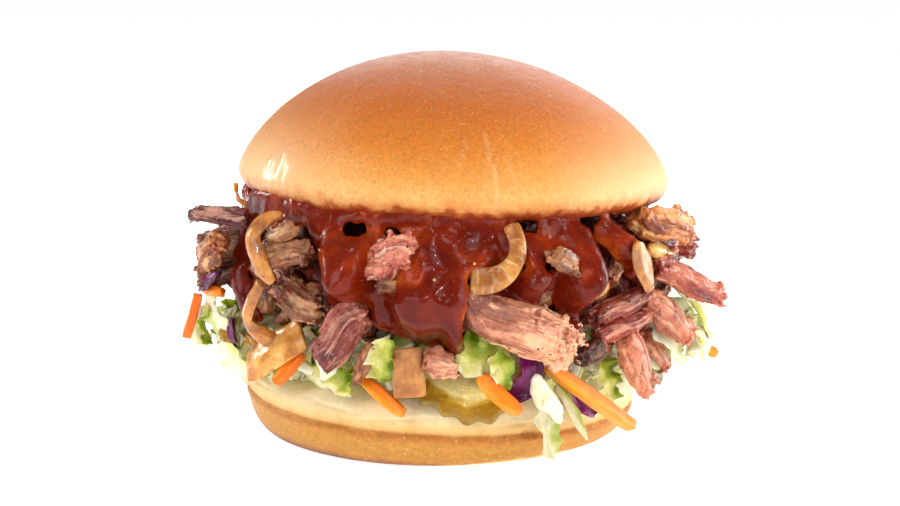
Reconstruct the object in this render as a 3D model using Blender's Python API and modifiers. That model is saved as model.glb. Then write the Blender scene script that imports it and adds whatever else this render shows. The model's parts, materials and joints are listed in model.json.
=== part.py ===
"""A smoked brisket sandwich: a soft round bun filled with pickle slices, coleslaw, chopped
brisket, grilled onion and barbecue sauce.

The frame is +Z up, with the front of the sandwich towards -Y. The origin is the middle of the
heel's flat underside. Everything rests on the heel, from the bottom up: heel, pickles, slaw,
brisket, sauce, crown.

The large loose pieces are made first, as slender drums bent along a smooth route. The heaps and
the sauce are made last, and are cut back from every piece that is stuck in them, with a little air
between, as chopped food leaves.
"""

import math

import bmesh
import bpy
from mathutils import Matrix, Vector, noise

MM = 0.001
AIR = 0.5 * MM

# The bun.
CROWN_RADIUS = 56.1 * MM
CROWN_DOME = 31.7 * MM
CROWN_LIP = 5.2 * MM
CROWN_SEAT = Vector((3.7, 0, 66.1)) * MM
CROWN_TILT = math.radians(1.8)
CROWN_LEAN = -0.065
HEEL_RADIUS = 51.8 * MM
HEEL_HEIGHT = 18 * MM
HEEL_CREASE = 9 * MM
HEEL_FLAT = 40 * MM
HEEL_FOOT = 45 * MM

# The filling. Its heaps are wider than the bun and stand a little to the right of its middle.
FILLING_MIDDLE = Vector((2, 0, 0)) * MM
FRONT_INSET = 8.5 * MM
BRISKET_REACH = (61 * MM, 59 * MM)
BRISKET_SPAN = (30.6 * MM, 56.2 * MM)
SLAW_REACH = (62 * MM, 56 * MM)
SLAW_SPAN = (18.6 * MM, 29.5 * MM)
SAUCE_REACH = 52 * MM
SAUCE_SPAN = (57.0 * MM, 59.9 * MM)

BUN_CRUST = ("bun_crust", (0.78, 0.40, 0.12), 0.42)
BUN_CREAM = ("bun_cream", (0.88, 0.66, 0.34), 0.55)
SAUCE_RED = ("sauce", (0.19, 0.022, 0.008), 0.18)
MEAT_PINK = ("meat_pink", (0.47, 0.17, 0.12), 0.45)
MEAT_BROWN = ("meat_brown", (0.25, 0.10, 0.05), 0.45)
ONION_TAN = ("onion", (0.60, 0.30, 0.09), 0.30)
CARROT_ORANGE = ("carrot", (0.92, 0.27, 0.03), 0.35)
RED_CABBAGE = ("red_cabbage", (0.16, 0.01, 0.10), 0.30)
LEAF_GREEN = ("leaf", (0.45, 0.58, 0.12), 0.35)
SLAW_PALE = ("slaw", (0.70, 0.72, 0.42), 0.35)
PICKLE_GREEN = ("pickle", (0.38, 0.34, 0.04), 0.25)
DRESSING = ("dressing", (0.86, 0.84, 0.74), 0.25)


# ---------------------------------------------------------------- the scene and its materials


def clear_scene():
    for old in list(bpy.data.objects):
        bpy.data.objects.remove(old)


def collection(name):
    made = bpy.data.collections.new(name)
    bpy.context.scene.collection.children.link(made)
    return made


def material(finish):
    """The Principled material of a (name, colour, roughness) finish, made the first time."""
    name, colour, roughness = finish
    made = bpy.data.materials.get(name)
    if made is None:
        made = bpy.data.materials.new(name)
        made.use_nodes = True
        shader = made.node_tree.nodes["Principled BSDF"]
        shader.inputs["Base Color"].default_value = (*colour, 1)
        shader.inputs["Roughness"].default_value = roughness
        shader.inputs["Metallic"].default_value = 0
    return made


def add_part(name, mesh, finish):
    mesh.materials.clear()
    mesh.materials.append(material(finish))
    part = bpy.data.objects.new(name, mesh)
    sandwich.objects.link(part)
    return part


def mesh_of(shape, name):
    """Closes a bmesh into a mesh with smooth, outward faces."""
    bmesh.ops.recalc_face_normals(shape, faces=shape.faces)
    if shape.calc_volume(signed=True) < 0:
        bmesh.ops.reverse_faces(shape, faces=shape.faces)
    mesh = bpy.data.meshes.new(name)
    shape.to_mesh(mesh)
    shape.free()
    mesh.shade_smooth()
    return mesh


def flatten(part):
    """Swaps an object's modifiers for the mesh that they make."""
    graph = bpy.context.evaluated_depsgraph_get()
    made = bpy.data.meshes.new_from_object(part.evaluated_get(graph))
    part.modifiers.clear()
    part.data = made


# ---------------------------------------------------------------- the bun


def heel_top(out):
    """Height of the heel's upper surface at a distance from its middle: flat, then a soft shoulder."""
    share = min(max((out - HEEL_FLAT) / (HEEL_RADIUS - HEEL_FLAT), 0), 1)
    return HEEL_CREASE + (HEEL_HEIGHT - HEEL_CREASE) * (1 - share**2.4) ** (1 / 2.4)


def turned(name, profile, finish, steps):
    """A closed profile of (out, up) points, from the top of the axis to the bottom, turned round Z."""
    mesh = bpy.data.meshes.new(name)
    corners = [(out, 0, up) for out, up in profile]
    mesh.from_pydata(corners, [(i, i + 1) for i in range(len(corners) - 1)], [])
    part = add_part(name, mesh, finish)
    screw = part.modifiers.new("turn", "SCREW")
    screw.steps = steps
    screw.render_steps = steps
    screw.use_merge_vertices = True
    screw.merge_threshold = 0.0001
    screw.use_smooth_shade = True
    return part


def make_crown():
    """A domed crown: flatter than a ball at the shoulders, with a short rounded lip underneath."""
    dome = []
    for i in range(10):
        rise = math.cos(math.pi / 2 * i / 9)
        out = CROWN_RADIUS * math.sqrt(1 - rise**1.5)
        dome.append((out, CROWN_DOME * rise))
    lip = []
    for i in range(1, 4):
        turn = math.pi / 2 * i / 3
        out = CROWN_RADIUS - 7 * MM * (1 - math.cos(turn))
        lip.append((out, -CROWN_LIP * math.sin(turn)))
    crown = turned("bun_crown", [*dome, *lip, (0, -CROWN_LIP)], BUN_CRUST, 40)
    flatten(crown)
    for corner in crown.data.vertices:
        lift = max(corner.co.z, 0)
        swell = 1 + 0.012 * noise.noise(corner.co * 22)
        corner.co.x = corner.co.x * swell + CROWN_LEAN * lift**2 / CROWN_DOME
        corner.co.y = corner.co.y * swell
    crown.parent = crown_seat
    return crown


def make_heel():
    """A flat foot, a baked side, a crease, and a pale soft shoulder up to the cut face."""
    shoulder = []
    for i in range(6):
        out = HEEL_FLAT + (HEEL_RADIUS - HEEL_FLAT) * math.sin(math.pi / 2 * i / 5)
        shoulder.append((out, heel_top(out)))
    side = []
    for i in range(1, 5):
        turn = math.pi / 2 * i / 4
        out = HEEL_FOOT + (HEEL_RADIUS - 0.4 * MM - HEEL_FOOT) * math.cos(turn)
        side.append((out, (HEEL_CREASE - 0.8 * MM) * (1 - math.sin(turn))))
    side.insert(0, (HEEL_RADIUS - 0.9 * MM, HEEL_CREASE - 0.5 * MM))
    return turned("bun_heel", [(0, HEEL_HEIGHT), *shoulder, *side, (0, 0)], BUN_CREAM, 40)


def make_pickle_slice(name, middle, radius, thickness):
    """A crinkle-cut slice that lies on the heel and droops over its shoulder."""
    segments = 26
    shape = bmesh.new()
    bmesh.ops.create_cone(
        shape, cap_ends=True, segments=segments, radius1=radius, radius2=radius, depth=thickness
    )
    caps = [face for face in shape.faces if len(face.verts) == segments]
    bmesh.ops.inset_individual(shape, faces=caps, thickness=0.3 * radius, use_even_offset=True)
    for corner in shape.verts:
        around = math.atan2(corner.co.y, corner.co.x)
        scallop = 1 + 0.035 * math.cos(9 * around) + 0.05 * math.cos(2 * around + 0.6)
        plan = Vector((corner.co.x * scallop, corner.co.y * 0.94 * scallop, 0)) + middle
        above = AIR + (thickness if corner.co.z > 0 else 0)
        corner.co = Vector((plan.x, plan.y, heel_top(plan.length) + above))
        shoulder = max(plan.length - HEEL_FLAT, 0) / (HEEL_RADIUS - HEEL_FLAT)
        corner.co += plan.normalized() * above * 0.75 * shoulder
    bmesh.ops.triangulate(shape, faces=shape.faces)
    return add_part(name, mesh_of(shape, name), PICKLE_GREEN)


# ---------------------------------------------------------------- long pieces of filling


def at(around, out, up):
    """A place in the filling: degrees round from the front, then mm from its axis and above the table."""
    turn = math.radians(around)
    return FILLING_MIDDLE + Vector((out * math.sin(turn), -out * math.cos(turn), up)) * MM


def along(route, share):
    """The point at a share of the way along a smooth curve through the route's points."""
    last = len(route) - 1
    step = min(int(share * last), last - 1)
    t = share * last - step
    before, start, end, after = (route[min(max(step + i, 0), last)] for i in (-1, 0, 1, 2))
    return 0.5 * (
        2 * start
        + (end - before) * t
        + (2 * before - 5 * start + 4 * end - after) * t**2
        + (3 * start - before - 3 * end + after) * t**3
    )


def bent_drum(route, widths, thickness, sides=6, rings=5, blunt=0.7, lumps=0.0, seed=0, grow=0.0):
    """A drum bent along a route, with its flat side facing out of the sandwich and a little up.

    widths are the piece's widths at its start, middle and end. blunt is how much of its size the
    piece keeps at its cut ends. grow makes it that much fatter all over, for a clearance.
    """
    route = [at(*place) for place in route]
    shape = bmesh.new()
    bmesh.ops.create_cone(
        shape, cap_ends=True, segments=sides, radius1=1, radius2=1, depth=1
    )
    long_edges = [
        edge for edge in shape.edges if abs(edge.verts[0].co.z - edge.verts[1].co.z) > 0.5
    ]
    bmesh.ops.subdivide_edges(shape, edges=long_edges, cuts=rings - 2, use_grid_fill=True)
    half_turn = Matrix.Rotation(math.pi / sides, 3, "Z")
    for corner in shape.verts:
        share = corner.co.z + 0.5
        spot = along(route, share)
        ahead = along(route, min(share + 0.02, 1)) - along(route, max(share - 0.02, 0))
        ahead.normalize()
        outward = Vector((spot.x - FILLING_MIDDLE.x, spot.y, 0)).normalized()
        side = ahead.cross(outward + Vector((0, 0, 0.35))).normalized()
        face = side.cross(ahead)
        local = half_turn @ Vector((corner.co.x, corner.co.y, 0))
        start, middle, end = widths
        width = (start + (middle - start) * 2 * share) if share < 0.5 else (
            middle + (end - middle) * (2 * share - 1)
        )
        fullness = blunt + (1 - blunt) * math.sqrt(1 - abs(2 * share - 1) ** 3)
        rough = 1 + lumps * noise.noise(spot * 160 + local * 1.4 + Vector((seed, 0, 0)))
        corner.co = (
            spot
            + side * local.x * (width / 2 * MM * fullness * rough + grow)
            + face * local.y * (thickness / 2 * MM * fullness * rough + grow)
            + ahead * grow * (1 if share > 0.99 else -1 if share < 0.01 else 0)
        )
    return shape


def add_piece(name, finish, route, widths, thickness, **form):
    """A piece of filling, cut back from what was laid before it.

    Its room is a slightly fatter copy, which cuts back what is laid after it.
    """
    made = add_part(name, mesh_of(bent_drum(route, widths, thickness, **form), name), finish)
    cut_back(made, rooms.objects)
    room = mesh_of(bent_drum(route, widths, thickness, grow=AIR, **form), name + "_room")
    add_cutter(made, room)


def make_chunks():
    """Chopped brisket: torn lengths of muscle, smoke-pink inside and dark with bark outside."""
    for name, finish, route, widths, thickness in (
        ("front_large", MEAT_PINK, [(3, 54, 41), (14, 57, 38), (28, 56, 32)], (8, 13, 14), 10),
        ("centre", MEAT_PINK, [(-20, 55, 50), (-14, 57, 52.5), (-7, 56, 54)], (7, 11, 8), 8),
        ("centre_low", MEAT_BROWN, [(-17, 55, 48), (-11, 56, 46.5), (-5, 56, 46)], (5, 6, 5), 6),
        ("left_low", MEAT_PINK, [(-24, 53, 40), (-27, 56, 33), (-30, 55, 26)], (11, 13, 9), 9),
        ("left_tail", MEAT_BROWN, [(-19, 54, 31), (-21, 55, 27), (-23, 55, 22)], (5, 5, 4), 3),
        ("left_slice", MEAT_BROWN, [(-51, 62, 48), (-42, 61, 52), (-34, 58, 54)], (8, 8, 7), 4),
        ("left_slice_upper", MEAT_BROWN, [(-45, 59, 56), (-41, 61, 57.5), (-37, 60, 58)], (5, 6, 5), 3),
        ("left_shreds", MEAT_BROWN, [(-44, 54, 45), (-39, 57, 41), (-34, 56, 38)], (7, 9, 7), 6),
        ("left_tip", MEAT_BROWN, [(-67, 69, 59.5), (-63, 63, 59), (-59, 57, 58)], (3, 6, 6), 5),
        ("left_block", MEAT_BROWN, [(-75, 65, 45), (-70, 63.5, 49), (-64, 61, 53)], (8, 10, 8), 7),
        ("right_top", MEAT_BROWN, [(57, 54, 57), (65, 59, 56), (73, 64, 56)], (8, 10, 11), 8),
        ("right_point", MEAT_PINK, [(62, 58, 46.5), (69, 65, 41.5), (74, 73, 36.5)], (9, 10, 5), 5),
        ("right_strand_upper", MEAT_PINK, [(39, 55, 36.5), (47, 58, 38.5), (55, 60, 40.5)], (6, 6, 5), 6),
        ("right_strand_lower", MEAT_PINK, [(39, 56, 32), (47, 59, 33.7), (55, 60, 34.7)], (5, 5, 4), 5),
        ("right_pink", MEAT_PINK, [(57, 59, 39), (63, 62, 33), (69, 65, 28)], (8, 9, 8), 6),
        ("right_hanging", MEAT_PINK, [(47, 60, 32), (50, 60, 24.5), (56, 59, 16)], (8, 9, 6), 6),
        ("right_hanging_back", MEAT_PINK, [(60, 57, 30.5), (66, 58, 24), (72, 58, 18)], (6, 6, 5), 4),
        ("right_knob", MEAT_BROWN, [(33, 57, 27.5), (38, 57.5, 28), (43, 57, 29)], (5, 6, 5), 5),
        ("right_knob_upper", MEAT_BROWN, [(23, 61, 53.5), (26, 62, 52), (29, 61, 50)], (5, 6, 5), 5),
        ("front_small", MEAT_PINK, [(-5, 55, 31), (-2, 56, 28), (1, 55, 25)], (7, 8, 5), 6),
    ):
        add_piece(
            "brisket_" + name, finish, route, widths, thickness,
            sides=7, rings=6, blunt=0.6, lumps=0.28, seed=len(name),
        )


def make_onions():
    """Grilled onion: soft curved slivers, browned at the edges."""
    for name, route, widths, thickness, rings in (
        ("left_long", [(-42, 57, 59.5), (-43, 62, 59.5), (-42, 65, 56), (-35, 65, 46.5)], (4, 5, 4.5), 3, 9),
        ("left_loop", [(-50, 57, 43.5), (-59, 58, 37.5), (-59, 58.5, 31.5), (-53, 57, 28)], (4, 5, 5), 3, 9),
        ("left_slab", [(-36, 60, 34), (-46, 61, 28), (-60, 59, 20)], (7, 9, 8), 3, 6),
        ("centre_ring", [(16, 57, 60), (17, 60, 55), (13, 61, 50), (5.5, 60, 48.5)], (3.5, 5, 6.5), 3, 9),
        ("right_drop", [(50, 60, 54), (50, 62, 49), (54, 62, 42)], (4, 6.5, 4), 4, 6),
        ("front_square", [(-8, 56, 31), (-9, 58.5, 26), (-9, 58, 20)], (7, 8, 7), 2.5, 5),
        ("right_back", [(60, 58, 50.5), (65, 59, 49.5), (70, 59, 48.5)], (5, 6, 5), 3.5, 5),
        ("right_bent", [(33, 57, 51), (36, 59, 43.5), (41, 58, 46)], (4, 4, 4), 3, 7),
    ):
        add_piece(
            "onion_" + name, ONION_TAN, route, widths, thickness,
            rings=rings, blunt=0.75, lumps=0.1, seed=len(name),
        )


def make_carrots():
    """Julienned carrot: straight sticks with square ends, sticking out of the slaw."""
    for name, route, widths, thickness in (
        ("left_outer", [(-80, 65.5, 36), (-81, 67, 30), (-82, 69, 24)], (2.5, 3, 3), 2.5),
        ("left_stub", [(-80, 63, 37), (-76, 62, 37.5), (-72, 60.5, 38)], (3.5, 3.5, 3.5), 3),
        ("left_low", [(-41, 54, 27), (-44, 56, 23), (-48, 56.5, 19)], (4, 5, 4), 2.5),
        ("front_left", [(-23, 50, 21.5), (-17, 53, 19), (-11, 56, 15.5)], (4, 4.5, 4), 3.5),
        ("front_middle", [(8, 55, 24.5), (12, 59, 20.5), (16, 61, 17)], (4.5, 5, 4), 4),
        ("front_long", [(26, 54, 26), (37, 58.5, 17), (48, 61, 8.5)], (4, 4.5, 4), 3.5),
        ("right_outer", [(79, 60, 26), (81, 65, 23), (82, 71, 19.5)], (3, 3.5, 4), 2.5),
    ):
        add_piece(
            "carrot_" + name, CARROT_ORANGE, route, widths, thickness,
            sides=4, rings=4, blunt=0.85,
        )


def make_leaves():
    """Shredded red cabbage and green cabbage from the slaw, the ones that hang out of it."""
    for name, finish, route, widths, thickness, rings in (
        (
            "red_cabbage_left_upper", RED_CABBAGE,
            [(-70, 61, 43), (-75, 63, 40), (-80, 65, 37)], (4, 5, 4), 1.8, 5,
        ),
        (
            "red_cabbage_left_small", RED_CABBAGE,
            [(-63, 60, 33), (-62, 61, 30), (-61, 60, 27)], (3, 4.5, 3), 1.8, 4,
        ),
        (
            "red_cabbage_front_curl", RED_CABBAGE,
            [(18, 54, 29), (21, 57, 25), (17, 55, 20), (11, 52, 20)], (6, 7, 4), 1.8, 8,
        ),
        ("red_cabbage_right_low", RED_CABBAGE, [(34, 53, 21), (37, 54, 16), (40, 55, 11)], (6, 9, 7), 1.8, 5),
        (
            "red_cabbage_right_small", RED_CABBAGE,
            [(77, 66, 27.5), (79, 68, 26), (80, 68, 24)], (3, 4, 3), 1.6, 4,
        ),
        ("leaf_left_outer", LEAF_GREEN, [(-76, 63, 33), (-80, 64.5, 27.5), (-81, 62, 22)], (4, 6, 4), 2, 5),
        ("leaf_front_left", LEAF_GREEN, [(-36, 53, 26), (-30, 54, 22.5), (-25, 55, 18.5)], (5, 7, 4), 2.4, 6),
        ("leaf_front_curl", LEAF_GREEN, [(-14, 57, 34), (-16, 55.5, 28), (-16, 54, 23)], (5, 7, 6), 3, 6),
        ("leaf_front_wide", LEAF_GREEN, [(2, 54, 29), (9, 55, 30), (16, 55, 29)], (7, 8, 6), 3, 6),
        (
            "leaf_front_hanging", LEAF_GREEN,
            [(22, 57, 24), (25, 58, 17), (24, 57.5, 9), (27, 58.5, 3)], (6, 7.5, 2.5), 2, 9,
        ),
        ("leaf_front_spike", LEAF_GREEN, [(29, 54, 21), (32, 57, 14), (36, 58, 6.5)], (4, 3.5, 1.5), 1.6, 6),
        ("leaf_right_curl", LEAF_GREEN, [(44, 54, 25), (45, 55.5, 19), (46, 55, 12.5)], (5, 7, 4), 2.4, 6),
        ("leaf_right_outer", LEAF_GREEN, [(76, 64, 33), (74, 66, 27.5), (76, 63, 21)], (7, 10, 7), 3, 5),
        ("pickle_left", PICKLE_GREEN, [(-75, 60, 27.5), (-73, 59.5, 24), (-72, 57, 19.5)], (6, 9, 7), 3.2, 5),
        ("pickle_right", PICKLE_GREEN, [(64, 56, 18), (70, 57, 16.5), (77, 56, 17)], (4, 6, 5), 3, 5),
        ("dressing_drop", DRESSING, [(-87, 65, 31), (-88, 67, 25.5), (-87, 66, 20.5)], (4, 7, 6), 5, 6),
    ):
        add_piece(
            name, finish, route, widths, thickness,
            rings=rings, blunt=0.6, lumps=0.12, seed=len(name),
        )


# ---------------------------------------------------------------- the heaps and the sauce


def heap_shape(reach, span, inset, lumps, seed, segments, rows):
    """A lumpy round-edged cake about the filling's middle.

    It is wide across X and narrower across Y. inset is how much further in its front stands,
    behind the large pieces.
    """
    shape = bmesh.new()
    bmesh.ops.create_uvsphere(shape, u_segments=segments, v_segments=rows, radius=1)
    low, high = span
    for corner in shape.verts:
        level = corner.co.z
        flat = Vector((corner.co.x, corner.co.y, 0))
        rim = flat.length**0.3
        direction = flat.normalized() if flat.length > 0.001 else Vector()
        front = min(max((0.4 - direction.y) / 1.4, 0), 1)
        out = Vector((direction.x * reach[0], direction.y * reach[1], 0)) - direction * inset * front
        bulge = 1 + lumps * noise.noise(direction * 4.5 + Vector((0, 0, level * 1.5 + seed)))
        height = math.copysign(abs(level) ** 0.7, level)
        corner.co = out * rim * bulge + Vector((0, 0, (low + high) / 2 + (high - low) / 2 * height))
    bmesh.ops.translate(shape, verts=shape.verts, vec=FILLING_MIDDLE)
    return shape


def make_heap(name, finish, *form):
    return add_part(name, mesh_of(heap_shape(*form), name), finish)


def make_pool(name, grow):
    reach = SAUCE_REACH + grow
    span = (SAUCE_SPAN[0] - grow, SAUCE_SPAN[1] + grow)
    pool = make_heap(name, SAUCE_RED, (reach, reach), span, 0, 0.05, 5, 32, 4)
    pool.data.transform(tilted)
    return pool


def make_sauce():
    """Thick sauce: a pool pressed out under the crown, with tongues that run down over the brisket."""
    sauce = make_pool("barbecue_sauce", 0)
    room = make_pool("pool", AIR)
    add_cutter(sauce, room.data)
    bpy.data.objects.remove(room)
    for route, widths in (
        ([(-52, 44, 57.5), (-52, 57, 56.5), (-53, 63, 48), (-52, 62, 38)], (12, 11, 8)),
        ([(-28, 43, 57), (-26, 55, 56), (-25, 60, 50), (-27, 60, 43)], (16, 15, 11)),
        ([(-4, 43, 56.5), (-6, 55, 55), (-6, 61, 44), (-8, 60, 36)], (16, 14, 14)),
        ([(8, 43, 56.5), (8, 54, 55), (2, 61, 42), (3, 60, 32)], (14, 10, 5)),
        ([(22, 43, 56), (22, 54, 55), (21, 60, 50), (18, 61, 45)], (16, 14, 9)),
        ([(33, 43, 56), (34, 54, 55), (34, 61, 48), (32, 61, 40)], (14, 12, 7)),
        ([(50, 43, 55.5), (50, 55, 55), (51, 61, 50), (51, 61, 47)], (12, 10, 6)),
    ):
        form = {"sides": 6, "rings": 7, "blunt": 0.6, "lumps": 0.1}
        drip = add_part("tongue", mesh_of(bent_drum(route, widths, 4.2, **form), "tongue"), SAUCE_RED)
        add_cutter(drip, mesh_of(bent_drum(route, widths, 4.2, grow=AIR, **form), "tongue_room"))
        drip.hide_render = True
        join = sauce.modifiers.new("tongue", "BOOLEAN")
        join.operation = "UNION"
        join.object = drip
        flatten(sauce)
        bpy.data.objects.remove(drip)
    return sauce


# ---------------------------------------------------------------- room between the pieces


def add_cutter(part, mesh):
    """Keeps a part's clearance shape, out of the render, for the pieces made after it."""
    cutter = bpy.data.objects.new(part.name + "_room", mesh)
    cutter.hide_render = True
    cutter.display_type = "WIRE"
    rooms.objects.link(cutter)
    cutter.matrix_world = part.matrix_world
    return cutter


def add_swollen_cutter(part):
    """A clearance shape made from the part itself, pushed out along its normals."""
    bpy.context.view_layer.update()
    graph = bpy.context.evaluated_depsgraph_get()
    evaluated = part.evaluated_get(graph)
    mesh = bpy.data.meshes.new_from_object(evaluated)
    mesh.transform(part.matrix_world)
    for corner in mesh.vertices:
        corner.co += corner.normal * AIR
    cutter = add_cutter(part, mesh)
    cutter.matrix_world = Matrix()
    return cutter


def reach_of(part):
    """Lowest and highest corner of a part in the world."""
    corners = [part.matrix_world @ Vector(corner) for corner in part.bound_box]
    low = Vector(min(corner[i] for corner in corners) for i in range(3))
    high = Vector(max(corner[i] for corner in corners) for i in range(3))
    return low, high


def near(first, second):
    first_low, first_high = reach_of(first)
    second_low, second_high = reach_of(second)
    return all(
        first_low[i] <= second_high[i] and second_low[i] <= first_high[i] for i in range(3)
    )


def span_of(corners):
    """Sum of the sides of the box round some corners."""
    return sum(
        max(corner.co[i] for corner in corners) - min(corner.co[i] for corner in corners)
        for i in range(3)
    )


def keep_largest_body(part):
    """Drops the crumbs that a cut leaves beside the piece."""
    shape = bmesh.new()
    shape.from_mesh(part.data)
    unseen = set(shape.verts)
    bodies = []
    while unseen:
        body, edge = set(), [unseen.pop()]
        while edge:
            corner = edge.pop()
            body.add(corner)
            for link in corner.link_edges:
                other = link.other_vert(corner)
                if other in unseen:
                    unseen.remove(other)
                    edge.append(other)
        bodies.append(body)
    bodies.sort(key=lambda body: span_of(body))
    for crumb in bodies[:-1]:
        bmesh.ops.delete(shape, geom=list(crumb), context="VERTS")
    shape.to_mesh(part.data)
    shape.free()


def cut_back(part, cutters, solver="EXACT"):
    """Cuts each cutter that reaches the part out of it, and keeps the one body that remains."""
    bpy.context.view_layer.update()
    for cutter in cutters:
        if not near(part, cutter):
            continue
        cut = part.modifiers.new(cutter.name, "BOOLEAN")
        cut.operation = "DIFFERENCE"
        cut.solver = solver
        cut.object = cutter
    if part.modifiers:
        flatten(part)
        keep_largest_body(part)


# ---------------------------------------------------------------- the sandwich

clear_scene()
sandwich = collection("smoked_brisket_sandwich")
rooms = collection("rooms")

tilted = Matrix.Rotation(CROWN_TILT, 4, "Y")
crown_seat = bpy.data.objects.new("crown_seat", None)
crown_seat.matrix_world = Matrix.Translation(CROWN_SEAT) @ tilted
sandwich.objects.link(crown_seat)

add_swollen_cutter(make_crown())
add_swollen_cutter(make_heel())
add_swollen_cutter(
    make_pickle_slice("pickle_front", Vector((7, -32, 0)) * MM, 18.5 * MM, 3.6 * MM)
)

make_onions()
make_carrots()
make_leaves()
laid = list(rooms.objects)
cut_back(make_sauce(), laid, "MANIFOLD")
make_chunks()

brisket = make_heap(
    "brisket_heap", MEAT_BROWN, BRISKET_REACH, BRISKET_SPAN, FRONT_INSET, 0.10, 3, 40, 9
)
brisket.data.transform(tilted)
slaw = make_heap("slaw_heap", SLAW_PALE, SLAW_REACH, SLAW_SPAN, FRONT_INSET, 0.10, 8, 40, 7)
cut_back(brisket, rooms.objects, "MANIFOLD")
cut_back(slaw, rooms.objects)
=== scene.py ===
"""A smoked brisket sandwich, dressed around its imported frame, in the order in which it is built.

+Z is up and the front is towards -Y. The frame gives the place of each piece of filling.
"""

import heapq  # noqa: E402
import json  # noqa: E402
import math  # noqa: E402
import random  # noqa: E402

import bmesh  # noqa: E402
import bpy  # noqa: E402
import numpy as np  # noqa: E402
from mathutils import Matrix, Vector, noise  # noqa: E402
from mathutils.bvhtree import BVHTree  # noqa: E402

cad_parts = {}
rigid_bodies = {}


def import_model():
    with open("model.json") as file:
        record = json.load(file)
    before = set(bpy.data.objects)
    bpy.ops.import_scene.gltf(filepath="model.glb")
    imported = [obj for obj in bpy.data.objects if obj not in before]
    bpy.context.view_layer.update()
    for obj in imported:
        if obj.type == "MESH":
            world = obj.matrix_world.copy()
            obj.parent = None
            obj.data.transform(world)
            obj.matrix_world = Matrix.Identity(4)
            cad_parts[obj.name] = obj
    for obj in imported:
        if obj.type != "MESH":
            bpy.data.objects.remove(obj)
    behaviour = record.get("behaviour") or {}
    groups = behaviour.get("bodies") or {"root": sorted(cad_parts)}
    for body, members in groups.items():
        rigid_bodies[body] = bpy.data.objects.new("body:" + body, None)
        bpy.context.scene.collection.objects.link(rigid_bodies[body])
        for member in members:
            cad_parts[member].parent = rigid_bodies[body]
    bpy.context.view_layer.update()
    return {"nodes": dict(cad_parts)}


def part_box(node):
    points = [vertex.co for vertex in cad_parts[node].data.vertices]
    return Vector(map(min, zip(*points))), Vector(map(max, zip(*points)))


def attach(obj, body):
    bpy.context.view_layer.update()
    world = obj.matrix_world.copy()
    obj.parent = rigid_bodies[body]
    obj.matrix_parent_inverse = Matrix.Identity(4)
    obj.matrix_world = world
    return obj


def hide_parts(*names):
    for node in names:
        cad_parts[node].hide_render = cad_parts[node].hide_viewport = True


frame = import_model()

# ---------------------------------------------------------------- the studio
# A white table that glows a little, as a light table does, in a dim white room. A wide panel stands
# behind and another hangs above, soft boxes stand at the sides and the front, and three small lamps
# give the wet food its glints.

MM = 0.001
# The camera stands low at the front and looks down by this many degrees.
LOOK_DOWN = 9.6

camera = bpy.data.objects.new("camera", bpy.data.cameras.new("camera"))
camera.data.sensor_width = 36
camera.data.lens = 68.16
camera.data.clip_start = 0.01
camera.location = Vector((2.7, -445, 120)) * MM
camera.rotation_euler = (math.radians(90 - LOOK_DOWN), 0, 0)
bpy.context.collection.objects.link(camera)
bpy.context.scene.camera = camera
bpy.context.scene.view_settings.view_transform = "Standard"

room = bpy.data.worlds.new("white_room")
room.use_nodes = True
room.node_tree.nodes["Background"].inputs["Color"].default_value = (1.0, 0.99, 0.98, 1)
room.node_tree.nodes["Background"].inputs["Strength"].default_value = 0.22
bpy.context.scene.world = room

LAMPS_AIM = Vector((0, 0, 0.05))
for name, place, width, power in (
    ("back_panel", (0.1, 1.05, 0.62), 0.8, 5.0),
    ("top_panel", (0.0, -0.35, 1.15), 0.7, 2.6),
    ("left_front", (-0.62, -0.62, 0.34), 0.42, 2.1),
    ("right_front", (0.85, -0.40, 0.30), 0.50, 3.0),
    ("front_fill", (0.10, -1.00, 0.10), 0.40, 1.1),
    ("left_side", (-0.89, 0.40, 0.35), 0.30, 4.2),
    ("right_side", (0.85, 0.30, 0.22), 0.60, 7.0),
    ("left_glint", (-0.36, -0.60, 0.55), 0.05, 0.75),
    ("right_glint", (0.46, -0.55, 0.40), 0.05, 0.70),
    ("top_glint", (0.05, -0.40, 0.85), 0.06, 0.80),
):
    lamp = bpy.data.lights.new(name, "AREA")
    lamp.shape = "SQUARE"
    lamp.size = width
    lamp.energy = power
    box = bpy.data.objects.new(name, lamp)
    box.location = place
    box.rotation_euler = (LAMPS_AIM - Vector(place)).to_track_quat("-Z", "Y").to_euler()
    bpy.context.collection.objects.link(box)

tabletop = bmesh.new()
bmesh.ops.create_grid(tabletop, x_segments=1, y_segments=1, size=14)
table = bpy.data.objects.new("table", bpy.data.meshes.new("table"))
tabletop.to_mesh(table.data)
tabletop.free()
table.location.z = -0.2 * MM
pale = bpy.data.materials.new("pale_table")
pale.use_nodes = True
table_look = pale.node_tree.nodes["Principled BSDF"].inputs
table_look["Base Color"].default_value = (0.86, 0.86, 0.86, 1)
table_look["Roughness"].default_value = 0.8
table_look["Specular IOR Level"].default_value = 0.1
table_look["Emission Color"].default_value = (1, 1, 1, 1)
table_look["Emission Strength"].default_value = 0.80
table.data.materials.append(pale)
bpy.context.collection.objects.link(table)

# ---------------------------------------------------------------- the heel
# The lower half of a soft round bun: a flat baked foot and side, a crease where the dough pulled
# away from its tin, and a pale soft shoulder up to the cut face. Turned, then creased and pitted.


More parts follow.
